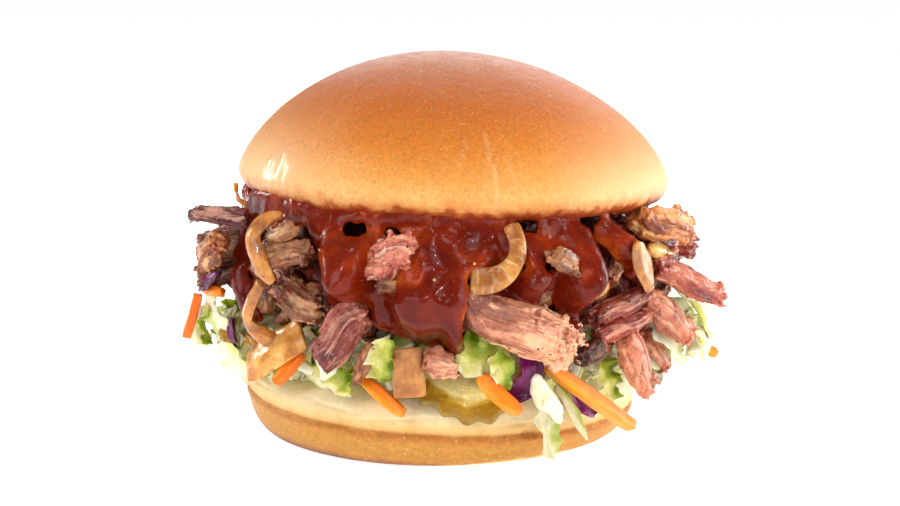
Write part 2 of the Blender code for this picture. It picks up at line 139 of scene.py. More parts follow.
class Finish:
    """A Principled material, with short calls for the nodes that food needs.

    soak and reach (mm) say how light goes into the food. Noise and dots have a grain of so many to
    the mm, laid in Object coordinates unless they are given others.
    """

    def __init__(self, name, roughness, specular=0.5, coat=0.0, coat_roughness=0.1, soak=0.0, reach=(3, 1.5, 1)):
        self.material = bpy.data.materials.new(name)
        self.material.use_nodes = True
        self.tree = self.material.node_tree
        self.shader = self.tree.nodes["Principled BSDF"]
        for socket, value in (
            ("Roughness", roughness), ("Specular IOR Level", specular), ("Coat Weight", coat),
            ("Coat Roughness", coat_roughness), ("Subsurface Weight", soak),
            ("Subsurface Radius", reach), ("Subsurface Scale", MM),
        ):
            self.feed(self.shader, socket, value)
        self.where = self.tree.nodes.new("ShaderNodeTexCoord").outputs["Object"]
        self.under = None

    def feed(self, node, socket, value):
        """Links a node's output to a socket, or sets the socket to a number or a colour."""
        if isinstance(value, bpy.types.NodeSocket):
            self.tree.links.new(value, node.inputs[socket])
        else:
            node.inputs[socket].default_value = value

    def colour(self, value):
        self.feed(self.shader, "Base Color", value)

    def note(self, name, output="Fac"):
        """A number, or with "Vector" a vector, that a mesh keeps at each corner."""
        node = self.tree.nodes.new("ShaderNodeAttribute")
        node.attribute_name = name
        return node.outputs[output]

    def stretched(self, value, scale):
        node = self.tree.nodes.new("ShaderNodeMapping")
        self.feed(node, "Vector", value)
        self.feed(node, "Scale", scale)
        return node.outputs[0]

    def noise_on(self, value, scale, detail=2.0, rough=0.5, warp=0.0):
        node = self.tree.nodes.new("ShaderNodeTexNoise")
        sockets = ("Vector", "Scale", "Detail", "Roughness", "Distortion")
        for socket, one in zip(sockets, (value, scale, detail, rough, warp)):
            self.feed(node, socket, one)
        return node.outputs[0]

    def noise(self, per_mm, *form, at=None):
        return self.noise_on(at or self.where, per_mm / MM, *form)

    def dots(self, per_mm):
        node = self.tree.nodes.new("ShaderNodeTexVoronoi")
        self.feed(node, "Vector", self.where)
        self.feed(node, "Scale", per_mm / MM)
        return node.outputs[0]

    def fit(self, value, seen=(0, 1), to=(0, 1)):
        """Stretches a value that is seen between two numbers to lie between two others."""
        node = self.tree.nodes.new("ShaderNodeMapRange")
        for socket, one in zip(("Value", "From Min", "From Max", "To Min", "To Max"), (value, *seen, *to)):
            self.feed(node, socket, one)
        return node.outputs[0]

    def sums(self, how, first, second=0.5):
        node = self.tree.nodes.new("ShaderNodeMath")
        node.operation = how
        self.feed(node, 0, first)
        self.feed(node, 1, second)
        return node.outputs[0]

    def add(self, first, second):
        return self.sums("ADD", first, second)

    def times(self, first, second):
        return self.sums("MULTIPLY", first, second)

    def ramp(self, value, *stops):
        """A colour that runs through (position, colour) stops, or through (position, grey) ones."""
        node = self.tree.nodes.new("ShaderNodeValToRGB")
        self.feed(node, 0, value)
        band = node.color_ramp
        while len(band.elements) < len(stops):
            band.elements.new(0.5)
        for element, (position, colour) in zip(band.elements, stops):
            element.position = position
            element.color = (*colour, 1) if isinstance(colour, tuple) else (colour, colour, colour, 1)
        return node.outputs[0]

    def mix(self, share, first, second, blend="MIX"):
        """Two colours mixed by a share, either of them a colour or a node's output."""
        node = self.tree.nodes.new("ShaderNodeMix")
        node.data_type = "RGBA"
        node.blend_type = blend
        self.feed(node, 0, share)
        for socket, value in ((6, first), (7, second)):
            self.feed(node, socket, value if isinstance(value, bpy.types.NodeSocket) else (*value, 1))
        return node.outputs[2]

    def bump(self, height, depth_mm):
        """Bump of a height from 0 to 1, on top of the finish's earlier bumps."""
        node = self.tree.nodes.new("ShaderNodeBump")
        self.feed(node, "Strength", 1.0)
        self.feed(node, "Distance", depth_mm * MM)
        self.feed(node, "Height", height)
        if self.under:
            self.feed(node, "Normal", self.under)
        self.under = node.outputs[0]
        self.feed(self.shader, "Normal", self.under)


def mesh_of(shape, name="pattern"):
    """A mesh from a bmesh, which is used up."""
    mesh = bpy.data.meshes.new(name)
    shape.to_mesh(mesh)
    shape.free()
    return mesh


def piece_of(shape, name, finish, slot, *nodes):
    """A finished piece, from a bmesh or a mesh, riding on the sandwich in place of its CAD nodes."""
    mesh = mesh_of(shape, name) if isinstance(shape, bmesh.types.BMesh) else shape
    mesh.name = name
    mesh.shade_smooth()
    mesh.materials.clear()
    mesh.materials.append(finish.material)
    piece = bpy.data.objects.new(name, mesh)
    bpy.context.collection.objects.link(piece)
    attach(piece, "root")
    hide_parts(*nodes)
    return piece


def turned(profile, steps):
    """Spins a profile of (out, up) points, in mm, round the upright axis, from one pole to the other."""
    shape = bmesh.new()
    chain = [shape.verts.new((out * MM, 0, up * MM)) for out, up in profile]
    edges = [shape.edges.new(pair) for pair in zip(chain[:-1], chain[1:])]
    bmesh.ops.spin(
        shape, geom=chain + edges, axis=(0, 0, 1), cent=(0, 0, 0), steps=steps,
        angle=2 * math.pi, use_merge=True,
    )
    bmesh.ops.remove_doubles(shape, verts=shape.verts, dist=0.001 * MM)
    bmesh.ops.recalc_face_normals(shape, faces=shape.faces)
    return shape


def ripple(spot, per_mm, seed=0.0):
    """Smooth noise from -1 to 1 at a place in metres, with a grain of so many to the mm."""
    return noise.noise(spot * (per_mm / MM) + Vector((seed, seed * 0.7, -seed)))


def part(value):
    return min(max(value, 0), 1)


def bell(offset):
    return math.exp(-(offset**2))


def wrapped(degrees):
    return (degrees + 180) % 360 - 180


HEEL_RADIUS = 51.6
HEEL_FLAT = 38
HEEL_FOOT = 45
HEEL_TOP = 18
HEEL_CREASE = 9.2
HEEL_CREASE_FALL = -0.04
SHOULDER_POWER = 2.5

heel_profile = [(out, HEEL_TOP) for out in np.linspace(0, HEEL_FLAT, 18)]
for share in np.linspace(0, 1, 34)[1:]:
    out = HEEL_FLAT + (HEEL_RADIUS - HEEL_FLAT) * math.sin(math.pi / 2 * share)
    fall = (1 - ((out - HEEL_FLAT) / (HEEL_RADIUS - HEEL_FLAT)) ** SHOULDER_POWER) ** (1 / SHOULDER_POWER)
    heel_profile.append((out, HEEL_CREASE + 0.5 + (HEEL_TOP - HEEL_CREASE - 0.5) * fall))
for share in np.linspace(0, 1, 30):
    turn = math.pi / 2 * share
    up = (HEEL_CREASE - 0.3) * (1 - math.sin(turn) ** 1.25)
    heel_profile.append((HEEL_FOOT + (HEEL_RADIUS - (HEEL_FOOT + 0.5)) * math.cos(turn), up))
heel_profile += [(out, 0) for out in np.linspace(HEEL_FOOT, 0, 14)[1:]]
heel = turned(heel_profile, 320)

# Cracks in the shoulder: (degrees round, mm above the crease, degrees long each way, tilt).
HEEL_CRACKS = (
    (-14, 3.0, 16, 0.08), (-33, 4.2, 12, -0.05), (24, 2.6, 12, 0.10), (58, 3.5, 15, -0.06),
    (-70, 3.0, 18, 0.05), (110, 3.4, 20, 0.04), (150, 4.4, 14, -0.08), (-150, 3.0, 22, 0.05),
    (-105, 4.0, 14, 0.1),
)
# Craters in the side: (degrees round, mm above the crease, radius, depth).
HEEL_CRATERS = ((25.5, 0.6, 3.0, 1.0), (-118, -2.0, 3.5, 0.8), (140, 0.4, 3.0, 1.0))
MM_TO_A_DEGREE = 0.9
# The foot is torn over this many degrees from the front to the right.
TORN_TO = 62

baked = heel.verts.layers.float.new("baked")
for corner in heel.verts:
    spot = corner.co.copy()
    out = math.hypot(spot.x, spot.y)
    if out < 1 * MM:
        corner[baked] = 0
        continue
    away = Vector((spot.x, spot.y, 0)) / out
    around = math.degrees(math.atan2(spot.x, -spot.y))
    height = spot.z / MM
    side = part((out / MM - 40) / 8)
    crease = HEEL_CREASE + HEEL_CREASE_FALL * spot.x / MM + 0.5 * ripple(away * 0.05, 0.05, 3)
    corner.co.z += (crease - HEEL_CREASE) * MM * side * bell((height - HEEL_CREASE) / 5)
    above = corner.co.z / MM - crease
    corner[baked] = above
    swell = 0.55 * ripple(spot, 0.035, 1) + 0.14 * ripple(spot, 0.16, 2) * side
    notch = -0.85 * bell((above + 0.1) / 0.55) * side
    lip = 0.35 * bell((above + 1.6) / 1.1) * side
    fine = 0.05 * ripple(spot, 0.7, 5) + 0.03 * ripple(spot, 1.6, 6)
    cracks = 0.0
    for place, low, length, tilt in HEEL_CRACKS if above > 0.8 else ():
        offset = wrapped(around - place)
        if abs(offset) < length:
            line = low + tilt * offset + 0.5 * ripple(spot, 0.25, 8)
            cracks -= 0.32 * bell((above - line) / 0.33) * (1 - (offset / length) ** 2)
    tear = 0.0
    if 0 < around < TORN_TO:
        torn_up = max(0, 1 - height / (2.0 + 0.9 * ripple(spot, 0.3, 9)))
        lift = (1 - ((around - TORN_TO / 2) / (TORN_TO / 2)) ** 2) * torn_up
        tear = -1.1 * lift * side * (0.7 + 0.6 * ripple(spot, 0.6, 10))
        corner[baked] += min(lift * 2.5, 1) * (1.2 - above)
    crater = 0.0
    for place, level, size, depth in HEEL_CRATERS:
        near = math.hypot(wrapped(around - place) * MM_TO_A_DEGREE, (above - level) * 1.25) / size
        if near < 1.2:
            edge = near + 0.35 * ripple(spot, 0.55, 12)
            crater -= depth * part((0.95 - edge) * 3) * (0.75 + 0.5 * ripple(spot, 1.1, 13)) * side
            crater += 0.35 * bell((edge - 1.05) / 0.14) * side
    upright = part((17.0 - height) / 3) if above > 0 else 1
    corner.co += away * (swell + notch + lip + cracks + tear + crater) * MM * side
    corner.co.z += fine * MM * (1 - side) * (1 if height > 9 else 0)
    corner.co += away * fine * MM * side * upright

bread = Finish("baked_heel", 0.5, 0.22, soak=0.16, reach=(4, 2, 1))
level = bread.note("baked")
uneven = bread.add(level, bread.fit(bread.noise(0.12, 3, 0.6), to=(-1.3, 1.3)))
crust = bread.ramp(
    bread.fit(uneven, (-10.0, 8.0)),
    (0.00, (0.13, 0.045, 0.014)), (0.07, (0.33, 0.130, 0.027)), (0.14, (0.49, 0.220, 0.038)),
    (0.38, (0.54, 0.255, 0.044)), (0.50, (0.48, 0.175, 0.030)), (0.57, (0.66, 0.360, 0.105)),
    (0.68, (0.84, 0.590, 0.260)), (0.82, (0.97, 0.820, 0.520)), (1.00, (0.99, 0.865, 0.600)),
)
freckles = bread.ramp(bread.dots(0.9), (0.10, 1.0), (0.22, 0.0))
scattered = bread.times(freckles, bread.ramp(bread.noise(0.28, 1), (0.52, 0.0), (0.62, 1.0)))
flecks = bread.mix(bread.times(scattered, 0.65), crust, (0.95, 0.70, 0.36))
mottle = bread.ramp(bread.noise(0.8, 5, 0.75), (0.32, 0.74), (0.68, 1.20))
sides = bread.ramp(bread.fit(level, (-3.0, 3.0)), (0.3, 1.0), (0.7, 0.35))
bread.colour(bread.mix(sides, flecks, mottle, "MULTIPLY"))
bread.bump(bread.noise(1.1, 5, 0.7), 0.14)
bread.bump(bread.ramp(bread.dots(1.6), (0.05, 0.0), (0.35, 1.0)), 0.07)
piece_of(heel, "bun_heel_baked", bread, "bun_cream", "bun_heel")

# ---------------------------------------------------------------- the pickles
# Crinkle-cut slices of pickled gherkin, soft and wet, that droop over the heel's shoulder: a dark
# scalloped rind, olive flesh, and a pale core with seeds. The outer two keep their CAD shapes,
# rounded and roughened.


def merged_copy(node):
    """A bmesh of a CAD node, with its loose triangles joined."""
    shape = bmesh.new()
    shape.from_mesh(frame["nodes"][node].data)
    bmesh.ops.remove_doubles(shape, verts=shape.verts, dist=0.005 * MM)
    return shape


def remeshed(shape, voxel_mm, smooth=3):
    """Joins everything in a bmesh into one closed skin of even small faces, and smooths it."""
    rough = mesh_of(shape, "rough")
    holder = bpy.data.objects.new("rough", rough)
    bpy.context.collection.objects.link(holder)
    skin = holder.modifiers.new("skin", "REMESH")
    skin.mode = "VOXEL"
    skin.voxel_size = voxel_mm * MM
    skin.adaptivity = 0
    soften = holder.modifiers.new("soften", "SMOOTH")
    soften.factor = 0.5
    soften.iterations = smooth
    made = bpy.data.meshes.new_from_object(holder.evaluated_get(bpy.context.evaluated_depsgraph_get()))
    bpy.data.objects.remove(holder)
    bpy.data.meshes.remove(rough)
    return made


def corners_of(mesh):
    found = np.empty(len(mesh.vertices) * 3)
    mesh.vertices.foreach_get("co", found)
    return found.reshape(-1, 3)


def grit(places, per_mm, seed=0):
    """Smooth random values from -1 to 1 at each place, with a grain of so many to the mm.

    Each cell's corners get a value from a hash of their whole numbers, and the rest is in between.
    """
    scaled = np.asarray(places) * (per_mm / MM) + 31.7 * (seed + 1)
    cell = np.floor(scaled).astype(np.int64)
    along = scaled - cell
    along = along * along * (3 - 2 * along)
    total = np.zeros(len(scaled))
    for step in np.ndindex(2, 2, 2):
        knot = (cell + step) * (73856093, 19349663, 83492791)
        key = (knot[:, 0] ^ knot[:, 1] ^ knot[:, 2]) + seed * 9176
        key = (key ^ (key >> 13)) * 1274126177 & 0x7FFFFFFF
        key = (key ^ (key >> 11)) & 0xFFFF
        near = np.where(step, along, 1 - along).prod(axis=1)
        total += near * (key / 32767.5 - 1)
    return total


def move(mesh, places):
    mesh.vertices.foreach_set("co", np.ascontiguousarray(places, dtype=np.float64).ravel())
    mesh.update()


def swollen(mesh, lumps):
    """Where a mesh's corners lie when each has moved out by its lump, in mm."""
    normals = np.empty(len(mesh.vertices) * 3)
    mesh.vertex_normals.foreach_get("vector", normals)
    return corners_of(mesh) + normals.reshape(-1, 3) * (lumps * MM)[:, None]


def note(mesh, name, values):
    """Keeps a number or a vector at each corner, for the material."""
    values = np.asarray(values, dtype=np.float64)
    kind, field = ("FLOAT", "value") if values.ndim == 1 else ("FLOAT_VECTOR", "vector")
    layer = mesh.attributes.new(name, kind, "POINT")
    layer.data.foreach_set(field, values.ravel())


gherkin = Finish("gherkin", 0.20, 0.28, coat=0.35, coat_roughness=0.06, soak=0.35, reach=(2.2, 1.8, 0.5))
rim = gherkin.note("rim")
flesh = gherkin.ramp(
    gherkin.add(rim, gherkin.fit(gherkin.noise(0.35, 3), to=(-0.10, 0.10))),
    (0.00, (0.93, 0.78, 0.30)), (0.68, (0.94, 0.79, 0.32)), (0.74, (0.68, 0.47, 0.050)),
    (0.80, (0.42, 0.22, 0.008)), (0.93, (0.35, 0.17, 0.006)), (0.98, (0.27, 0.16, 0.006)),
    (1.00, (0.20, 0.13, 0.006)),
)
veins = gherkin.ramp(gherkin.noise(0.9, 4, 0.6, 0.6), (0.35, 0.88), (0.65, 1.12))
seeds = gherkin.ramp(gherkin.dots(0.36), (0.10, 1.0), (0.16, 0.0))
core = gherkin.ramp(rim, (0.50, 1.0), (0.62, 0.0))
pips = gherkin.mix(gherkin.times(seeds, core), flesh, (0.80, 0.74, 0.42))
gherkin.colour(gherkin.mix(1.0, pips, veins, "MULTIPLY"))
gherkin.bump(gherkin.noise(0.8, 3, 0.6), 0.30)
gherkin.bump(gherkin.dots(1.4), 0.08)

# The front slice leans on the heel's shoulder and bends back over it, under the slaw.
SLICE_MIDDLE_X = 8.0
SLICE_RADIUS = 18.0
SLICE_HALF = 1.4
SLICE_FOOT = (-53.2, 12.6)
SLICE_LEAN = math.radians(74)
SLICE_BEND = 18.0

SLICE_FACE = SLICE_RADIUS - SLICE_HALF
profile = [(out, SLICE_HALF) for out in np.linspace(0, SLICE_FACE, 30)]
for turn in np.linspace(math.pi / 2, -math.pi / 2, 9)[1:]:
    profile.append((SLICE_FACE + SLICE_HALF * math.cos(turn), SLICE_HALF * math.sin(turn)))
profile += [(out, -SLICE_HALF) for out in np.linspace(SLICE_FACE, 0, 12)[1:]]
front_slice = turned(profile, 200)
rims = []
for corner in front_slice.verts:
    around = math.atan2(corner.co.y, corner.co.x)
    rims.append(math.hypot(corner.co.x, corner.co.y) / MM / SLICE_RADIUS)
    scallop = 1 + (0.032 * math.cos(19 * around) + 0.03 * math.cos(5 * around + 1) - 0.02) * rims[-1] ** 3
    across = SLICE_MIDDLE_X + corner.co.x / MM * scallop
    along = SLICE_RADIUS + corner.co.y / MM * scallop
    dent = -0.30 * bell((rims[-1] - 0.70) / 0.05)
    dent = dent + 0.22 * ripple(corner.co, 0.3, 4) + 0.10 * ripple(corner.co, 0.9, 5)
    level = corner.co.z / MM + (dent if corner.co.z > 0 else 0)
    lean = max(SLICE_LEAN - along / SLICE_BEND, 0)
    flat_run = max(along - SLICE_LEAN * SLICE_BEND, 0)
    corner.co = Vector((
        across,
        SLICE_FOOT[0] + SLICE_BEND * (math.sin(SLICE_LEAN) - math.sin(lean)) + flat_run - level * math.sin(lean),
        SLICE_FOOT[1] + SLICE_BEND * (math.cos(lean) - math.cos(SLICE_LEAN)) + level * math.cos(lean),
    )) * MM
front_slice = mesh_of(front_slice)
note(front_slice, "rim", np.clip(rims, 0, 1))
piece_of(front_slice, "pickle_front_slice", gherkin, "pickle", "pickle_front")

for node, seed in (("pickle_left", 2), ("pickle_right", 3)):
    slice_ = remeshed(merged_copy(node), 0.42, 4)
    places = corners_of(slice_)
    move(slice_, swollen(slice_, 0.25 * grit(places, 0.35, seed) + 0.12 * grit(places, 0.9, seed + 5)))
    note(slice_, "rim", np.clip(0.85 + 0.35 * grit(places, 0.12, seed), 0, 1))
    piece_of(slice_, node + "_slice", gherkin, "pickle", node)

# ---------------------------------------------------------------- the slaw
# Coleslaw: shredded white and green cabbage in a thin creamy dressing, with red cabbage and
# carrot. A packed core, shreds laid all round it, and the larger bits that hang out of it.

# The filling's upright axis stands this far to the right of the middle, in mm.
AXIS_X = 2


def unit(rows):
    return rows / np.linalg.norm(rows, axis=1)[:, None]


def sides_of(at):
    """The directions ahead, sideways and outwards at each step of a line round the sandwich."""
    ahead = unit(np.gradient(at, axis=0))
    side = unit(np.cross(ahead, unit(at * (1, 1, 0)) + np.array((0, 0, 0.35))))
    return {"at": at, "ahead": ahead, "side": side, "face": np.cross(side, ahead), "count": len(at)}


def spine_of(node, lean=(-1, 0, 0.2), count=9):
    """The middle line of a long CAD piece, with its directions and half sizes at each step.

    It runs between the two ends that lie furthest apart over the piece's skin, and starts at the
    end that lies further along lean.
    """
    shape = merged_copy(node)
    bmesh.ops.subdivide_edges(shape, edges=shape.edges, cuts=2, use_grid_fill=True)
    shape.verts.index_update()
    places = np.array([corner.co for corner in shape.verts])
    weight = np.array([sum(face.calc_area() for face in corner.link_faces) for corner in shape.verts])
    links = [
        [(edge.other_vert(corner).index, edge.calc_length()) for edge in corner.link_edges] for corner in shape.verts
    ]
    shape.free()

    def far_from(start):
        far = np.full(len(places), np.inf)
        far[start] = 0
        queue = [(0.0, start)]
        while queue:
            so_far, here = heapq.heappop(queue)
            if so_far > far[here]:
                continue
            for there, step in links[here]:
                if so_far + step < far[there]:
                    far[there] = so_far + step
                    heapq.heappush(queue, (far[there], there))
        return far

    def furthest(far):
        return int(np.argmax(np.where(np.isfinite(far), far, -1)))

    first = furthest(far_from(0))
    last = furthest(far_from(first))
    if (places[last] - places[first]) @ np.array(lean) > 0:
        first, last = last, first
    from_first, from_last = far_from(first), far_from(last)
    known = np.isfinite(from_first)
    places, weight = places[known], weight[known]
    share = 0.5 + 0.5 * (from_first[known] - from_last[known]) / from_first[last]
    nearby = [weight * np.exp(-(((share - step) * count / 0.75) ** 2)) for step in np.linspace(0, 1, count)]
    spine = sides_of(np.array([(places * near[:, None]).sum(axis=0) / near.sum() for near in nearby]))
    for sizes, ways in (("wide", "side"), ("thick", "face")):
        spine[sizes] = np.array([
            1.35 * math.sqrt(((((places - middle) @ way) ** 2) * near).sum() / near.sum())
            for near, middle, way in zip(nearby, spine["at"], spine[ways])
        ])
    spine["length"] = np.linalg.norm(np.diff(spine["at"], axis=0), axis=1).sum()
    return spine


def loose_spine(spot, ahead, length, bend=(0, 0, 0), half_sizes=(1.5, 0.6), count=6):
    """A spine of its own for a scattered piece, through a spot, bending over to one side."""
    steps = np.linspace(-0.5, 0.5, count)
    ahead = np.asarray(ahead) / np.linalg.norm(ahead)
    straight = np.asarray(spot) + steps[:, None] * ahead * length * MM
    spine = sides_of(straight + (steps**2)[:, None] * np.asarray(bend) * MM)
    wide, thick = (np.full(count, half * MM) for half in half_sizes)
    spine.update(wide=wide, thick=thick, length=length * MM)
    return spine


def routed_spine(route, count=11):
    """A spine of its own through (x, y, z, half width) places in mm."""
    route = np.array(route, dtype=float)
    steps = np.concatenate([[0], np.cumsum(np.linalg.norm(np.diff(route[:, :3], axis=0), axis=1))])
    at = np.stack([np.interp(np.linspace(0, steps[-1], count), steps, route[:, k]) for k in range(4)], axis=1)
    for _ in range(2):
        at[1:-1] = 0.25 * at[:-2] + 0.5 * at[1:-1] + 0.25 * at[2:]
    spine = sides_of(at[:, :3])
    spine.update(at=at[:, :3] * MM, wide=at[:, 3] * MM, length=steps[-1] * MM)
    return spine


def on_spine(spine, share, *fields):
    """Values of the spine's fields at shares along it. Its line runs straight on past both ends."""
    share = np.asarray(share)
    step = np.clip(share, 0, 1) * (spine["count"] - 1)
    low = np.minimum(step.astype(int), spine["count"] - 2)
    along = step - low
    found = []
    for name in fields:
        rows = spine[name]
        upper = along[..., None] if rows.ndim > 1 else along
        value = rows[low] * (1 - upper) + rows[low + 1] * upper
        if name == "at":
            beyond = share - np.clip(share, 0, 1)
            value = value + on_spine(spine, np.clip(share, 0, 1), "ahead")[0] * (beyond * spine["length"])[..., None]
        found.append(value)
    return found


def local_to(spine, places):
    """How far along the spine each place is, 0 to 1, and its offset across and out of it, in metres."""
    steps = np.linspace(0, 1, 41)
    at, side, face = on_spine(spine, steps, "at", "side", "face")
    near = ((places[:, None, :] - at[None]) ** 2).sum(axis=2).argmin(axis=1)
    away = places - at[near]
    return steps[near], (away * side[near]).sum(axis=1), (away * face[near]).sum(axis=1)


def tube(segments, cuts):
    """An upright closed tube of one unit, in rings, to be copied and reshaped many times."""
    shape = bmesh.new()
    bmesh.ops.create_cone(shape, cap_ends=True, segments=segments, radius1=1, radius2=1, depth=1)
    upright = [edge for edge in shape.edges if abs(edge.verts[0].co.z - edge.verts[1].co.z) > 0.5]
    bmesh.ops.subdivide_edges(shape, edges=upright, cuts=cuts, use_grid_fill=True)
    return mesh_of(shape)


def add_copies(shape, pattern, rows):
    """Adds a copy of a pattern for each row of corners, an array of (copies, corners, 3)."""
    for corners in rows:
        known = len(shape.verts)
        shape.from_mesh(pattern)
        shape.verts.ensure_lookup_table()
        for corner, spot in zip(shape.verts[known:], corners):
            corner.co = spot


def slab(
    shape, pattern, spine, seed, thin=0.6, ruffle=0.0, waves=3.0, cup=0.0, ribs=0.0, edges=0.15, twist=0.0,
    size=1.0, square=False, blunt=False, notes=None,
):
    """Adds a long flat piece to a bmesh: a tube of the pattern, flattened along the spine.

    thin is its half thickness in mm. ruffle waves its edges, cup bends it across, ribs give it
    lengthwise ridges, edges make its outline uneven, and twist turns it over from end to end. A
    square piece is boxy across, and a blunt one keeps its width to its cut ends.
    """
    dice = np.random.default_rng(seed)
    form = corners_of(pattern)
    across, out = form[:, 0].copy(), form[:, 1]
    if square:
        grow = np.hypot(across, out) * (np.abs(across) ** 7 + np.abs(out) ** 7).clip(1e-9) ** (-1 / 7)
        across, out = across * grow, out * grow
    share = form[:, 2] + 0.5
    length = spine["length"] / MM
    flat_end = np.stack([across * 1.5, np.zeros(len(share)), np.round(share)], axis=1) * MM
    cut = edges * 2.2 * grit(flat_end, 0.9, seed + 2) / length
    to_end = np.abs(2 * share - 1)
    at, side, face, wide = on_spine(spine, share + cut * to_end**4, "at", "side", "face", "wide")
    sharp = square or blunt
    round_off = 1 - (0.08 if sharp else 0.35) * to_end ** (24 if sharp else 6)
    if blunt:
        wide = np.maximum(wide, 0.9 * spine["wide"].mean())
    outline = np.stack([np.sign(across), share * length * 0.28, np.zeros(len(share))], axis=1)
    width = wide * size * round_off * (1 + edges * grit(outline * MM, 1.0, seed))
    wave = np.sin(2 * math.pi * waves * share + dice.uniform(0, 6) + across * 1.1) * np.abs(across) ** 1.4
    wave += 0.5 * np.sin(2 * math.pi * waves * 2.3 * share + dice.uniform(0, 6)) * np.abs(across) ** 3
    lift = ruffle * wave + cup * across**2 * (wide / MM) + ribs * np.cos(across * 9)
    lift += 0.25 * grit(np.stack([across * 2, share * length * 0.35, share * 0], axis=1) * MM, 1.0, seed + 1)
    deep = thin * (round_off if sharp else (1 - 0.3 * to_end**6) * (1 - 0.35 * np.abs(across) ** 4))
    turn = twist * (share - 0.5)
    flat, high = across * width, (out * deep + lift) * MM
    sideways, outwards = flat * np.cos(turn) - high * np.sin(turn), flat * np.sin(turn) + high * np.cos(turn)
    add_copies(shape, pattern, [at + side * sideways[:, None] + face * outwards[:, None]])
    if notes is not None:
        notes.append(np.stack([across, out, share, np.full(len(share), dice.random())], axis=1))


def slab_piece(name, finish, slot, slabs, *nodes, own=None):
    """A piece of slabs, each (pattern, spine, seed, form), with notes for the material.

    lay says where each corner lies across, out and along its slab; own is a number for each slab.
    """
    shape, notes = bmesh.new(), []
    for pattern, spine, seed, form in slabs:
        slab(shape, pattern, spine, seed, notes=notes, **form)
    mesh = mesh_of(shape)
    notes = np.concatenate(notes)
    note(mesh, "lay", notes[:, :3])
    note(mesh, "own", notes[:, 3] if own is None else np.full(len(notes), own))
    return piece_of(mesh, name, finish, slot, *nodes)


ribbon, broad, leafy = tube(8, 9), tube(36, 40), tube(20, 18)


def veg_finish(name, *stops, grain, specular=0.25, roughness=0.26, coat=0.25, soak=0.3, reach=(2.0, 2.0, 0.8)):
    """A wet cut vegetable: colour stops run from one edge of the slab to the other, streaked along it."""
    made = Finish(name, roughness, specular, coat=coat, coat_roughness=0.07, soak=soak, reach=reach)
    lay = made.note("lay", "Vector")
    split = made.tree.nodes.new("ShaderNodeSeparateXYZ")
    made.feed(split, 0, lay)
    clouds = made.fit(made.noise(0.28, 4, 0.6), (0.3, 0.7), (-0.28, 0.28))
    shade = made.add(made.fit(split.outputs[0], (-1.0, 1.0)), clouds)
    shade = made.add(shade, made.fit(made.note("own"), to=(-0.22, 0.22)))
    streak = made.noise_on(made.stretched(lay, (5, 2, 1.6)), 1.6, 3.0, 0.6)
    lines = made.ramp(streak, (0.32, 1 - 0.30 * grain), (0.68, 1 + 0.25 * grain))
    made.colour(made.mix(1.0, made.ramp(shade, *stops), lines, "MULTIPLY"))
    made.bump(streak, 0.18 * min(2 * grain, 1))
    made.bump(made.noise(1.3, 3, 0.6), 0.16)
    return made


def tree_of(meshes):
    """A tree for casting rays at all of the meshes together."""
    corners, faces = [], []
    for mesh in meshes:
        faces += [tuple(len(corners) + index for index in face.vertices) for face in mesh.polygons]
        corners += [corner.co.copy() for corner in mesh.vertices]
    return BVHTree.FromPolygons(corners, faces)


def away_at(degrees):
    turn = math.radians(degrees)
    return Vector((math.sin(turn), -math.cos(turn), 0))


def on_axis(up):
    return Vector((AXIS_X, 0, up)) * MM


def laid_round(mesh):
    """Finds the outside of a lumpy mesh: (degrees round from the front, mm up) to a place on it."""
    tree = tree_of([mesh])

    def at(around, up):
        away = away_at(around)
        hit = tree.ray_cast(on_axis(up) + away * 0.1, -away)[0]
        return (on_axis(up) + away * 40 * MM if hit is None else hit), away

    return at


creamy = Finish("dressed_cabbage", 0.30, 0.25, coat=0.25, coat_roughness=0.08, soak=0.3, reach=(2.5, 2.2, 1.0))
cabbage = creamy.ramp(
    creamy.noise(0.22, 4, 0.65),
    (0.30, (0.48, 0.54, 0.07)), (0.42, (0.74, 0.72, 0.22)), (0.52, (0.92, 0.85, 0.46)),
    (0.62, (0.95, 0.90, 0.64)), (0.72, (0.76, 0.74, 0.24)),
)
creamy.colour(creamy.mix(1.0, cabbage, creamy.ramp(creamy.noise(0.8, 3), (0.35, 0.82), (0.6, 1.05)), "MULTIPLY"))
creamy.bump(creamy.noise(0.6, 4, 0.65, 0.6), 0.7)

packed = remeshed(merged_copy("slaw_heap"), 0.75, 6)
places = corners_of(packed)
lumps = 1.1 * grit(places, 0.14, 4) + 0.7 * grit(places * (1, 1, 1.8), 0.38, 5) + 0.25 * grit(places, 0.9, 6)
places = swollen(packed, lumps - 0.9)
# The core stands back behind the front pickle.
behind_pickle = np.exp(-(((places[:, 0] / MM - 7) / 17) ** 4)) * np.clip((27.5 - places[:, 2] / MM) / 2, 0, 1)
places[:, 1] += behind_pickle * np.clip(-43.5 * MM - places[:, 1], 0, None)
move(packed, places)
slaw_at = laid_round(packed)
piece_of(packed, "slaw_core", creamy, "slaw", "slaw_heap")

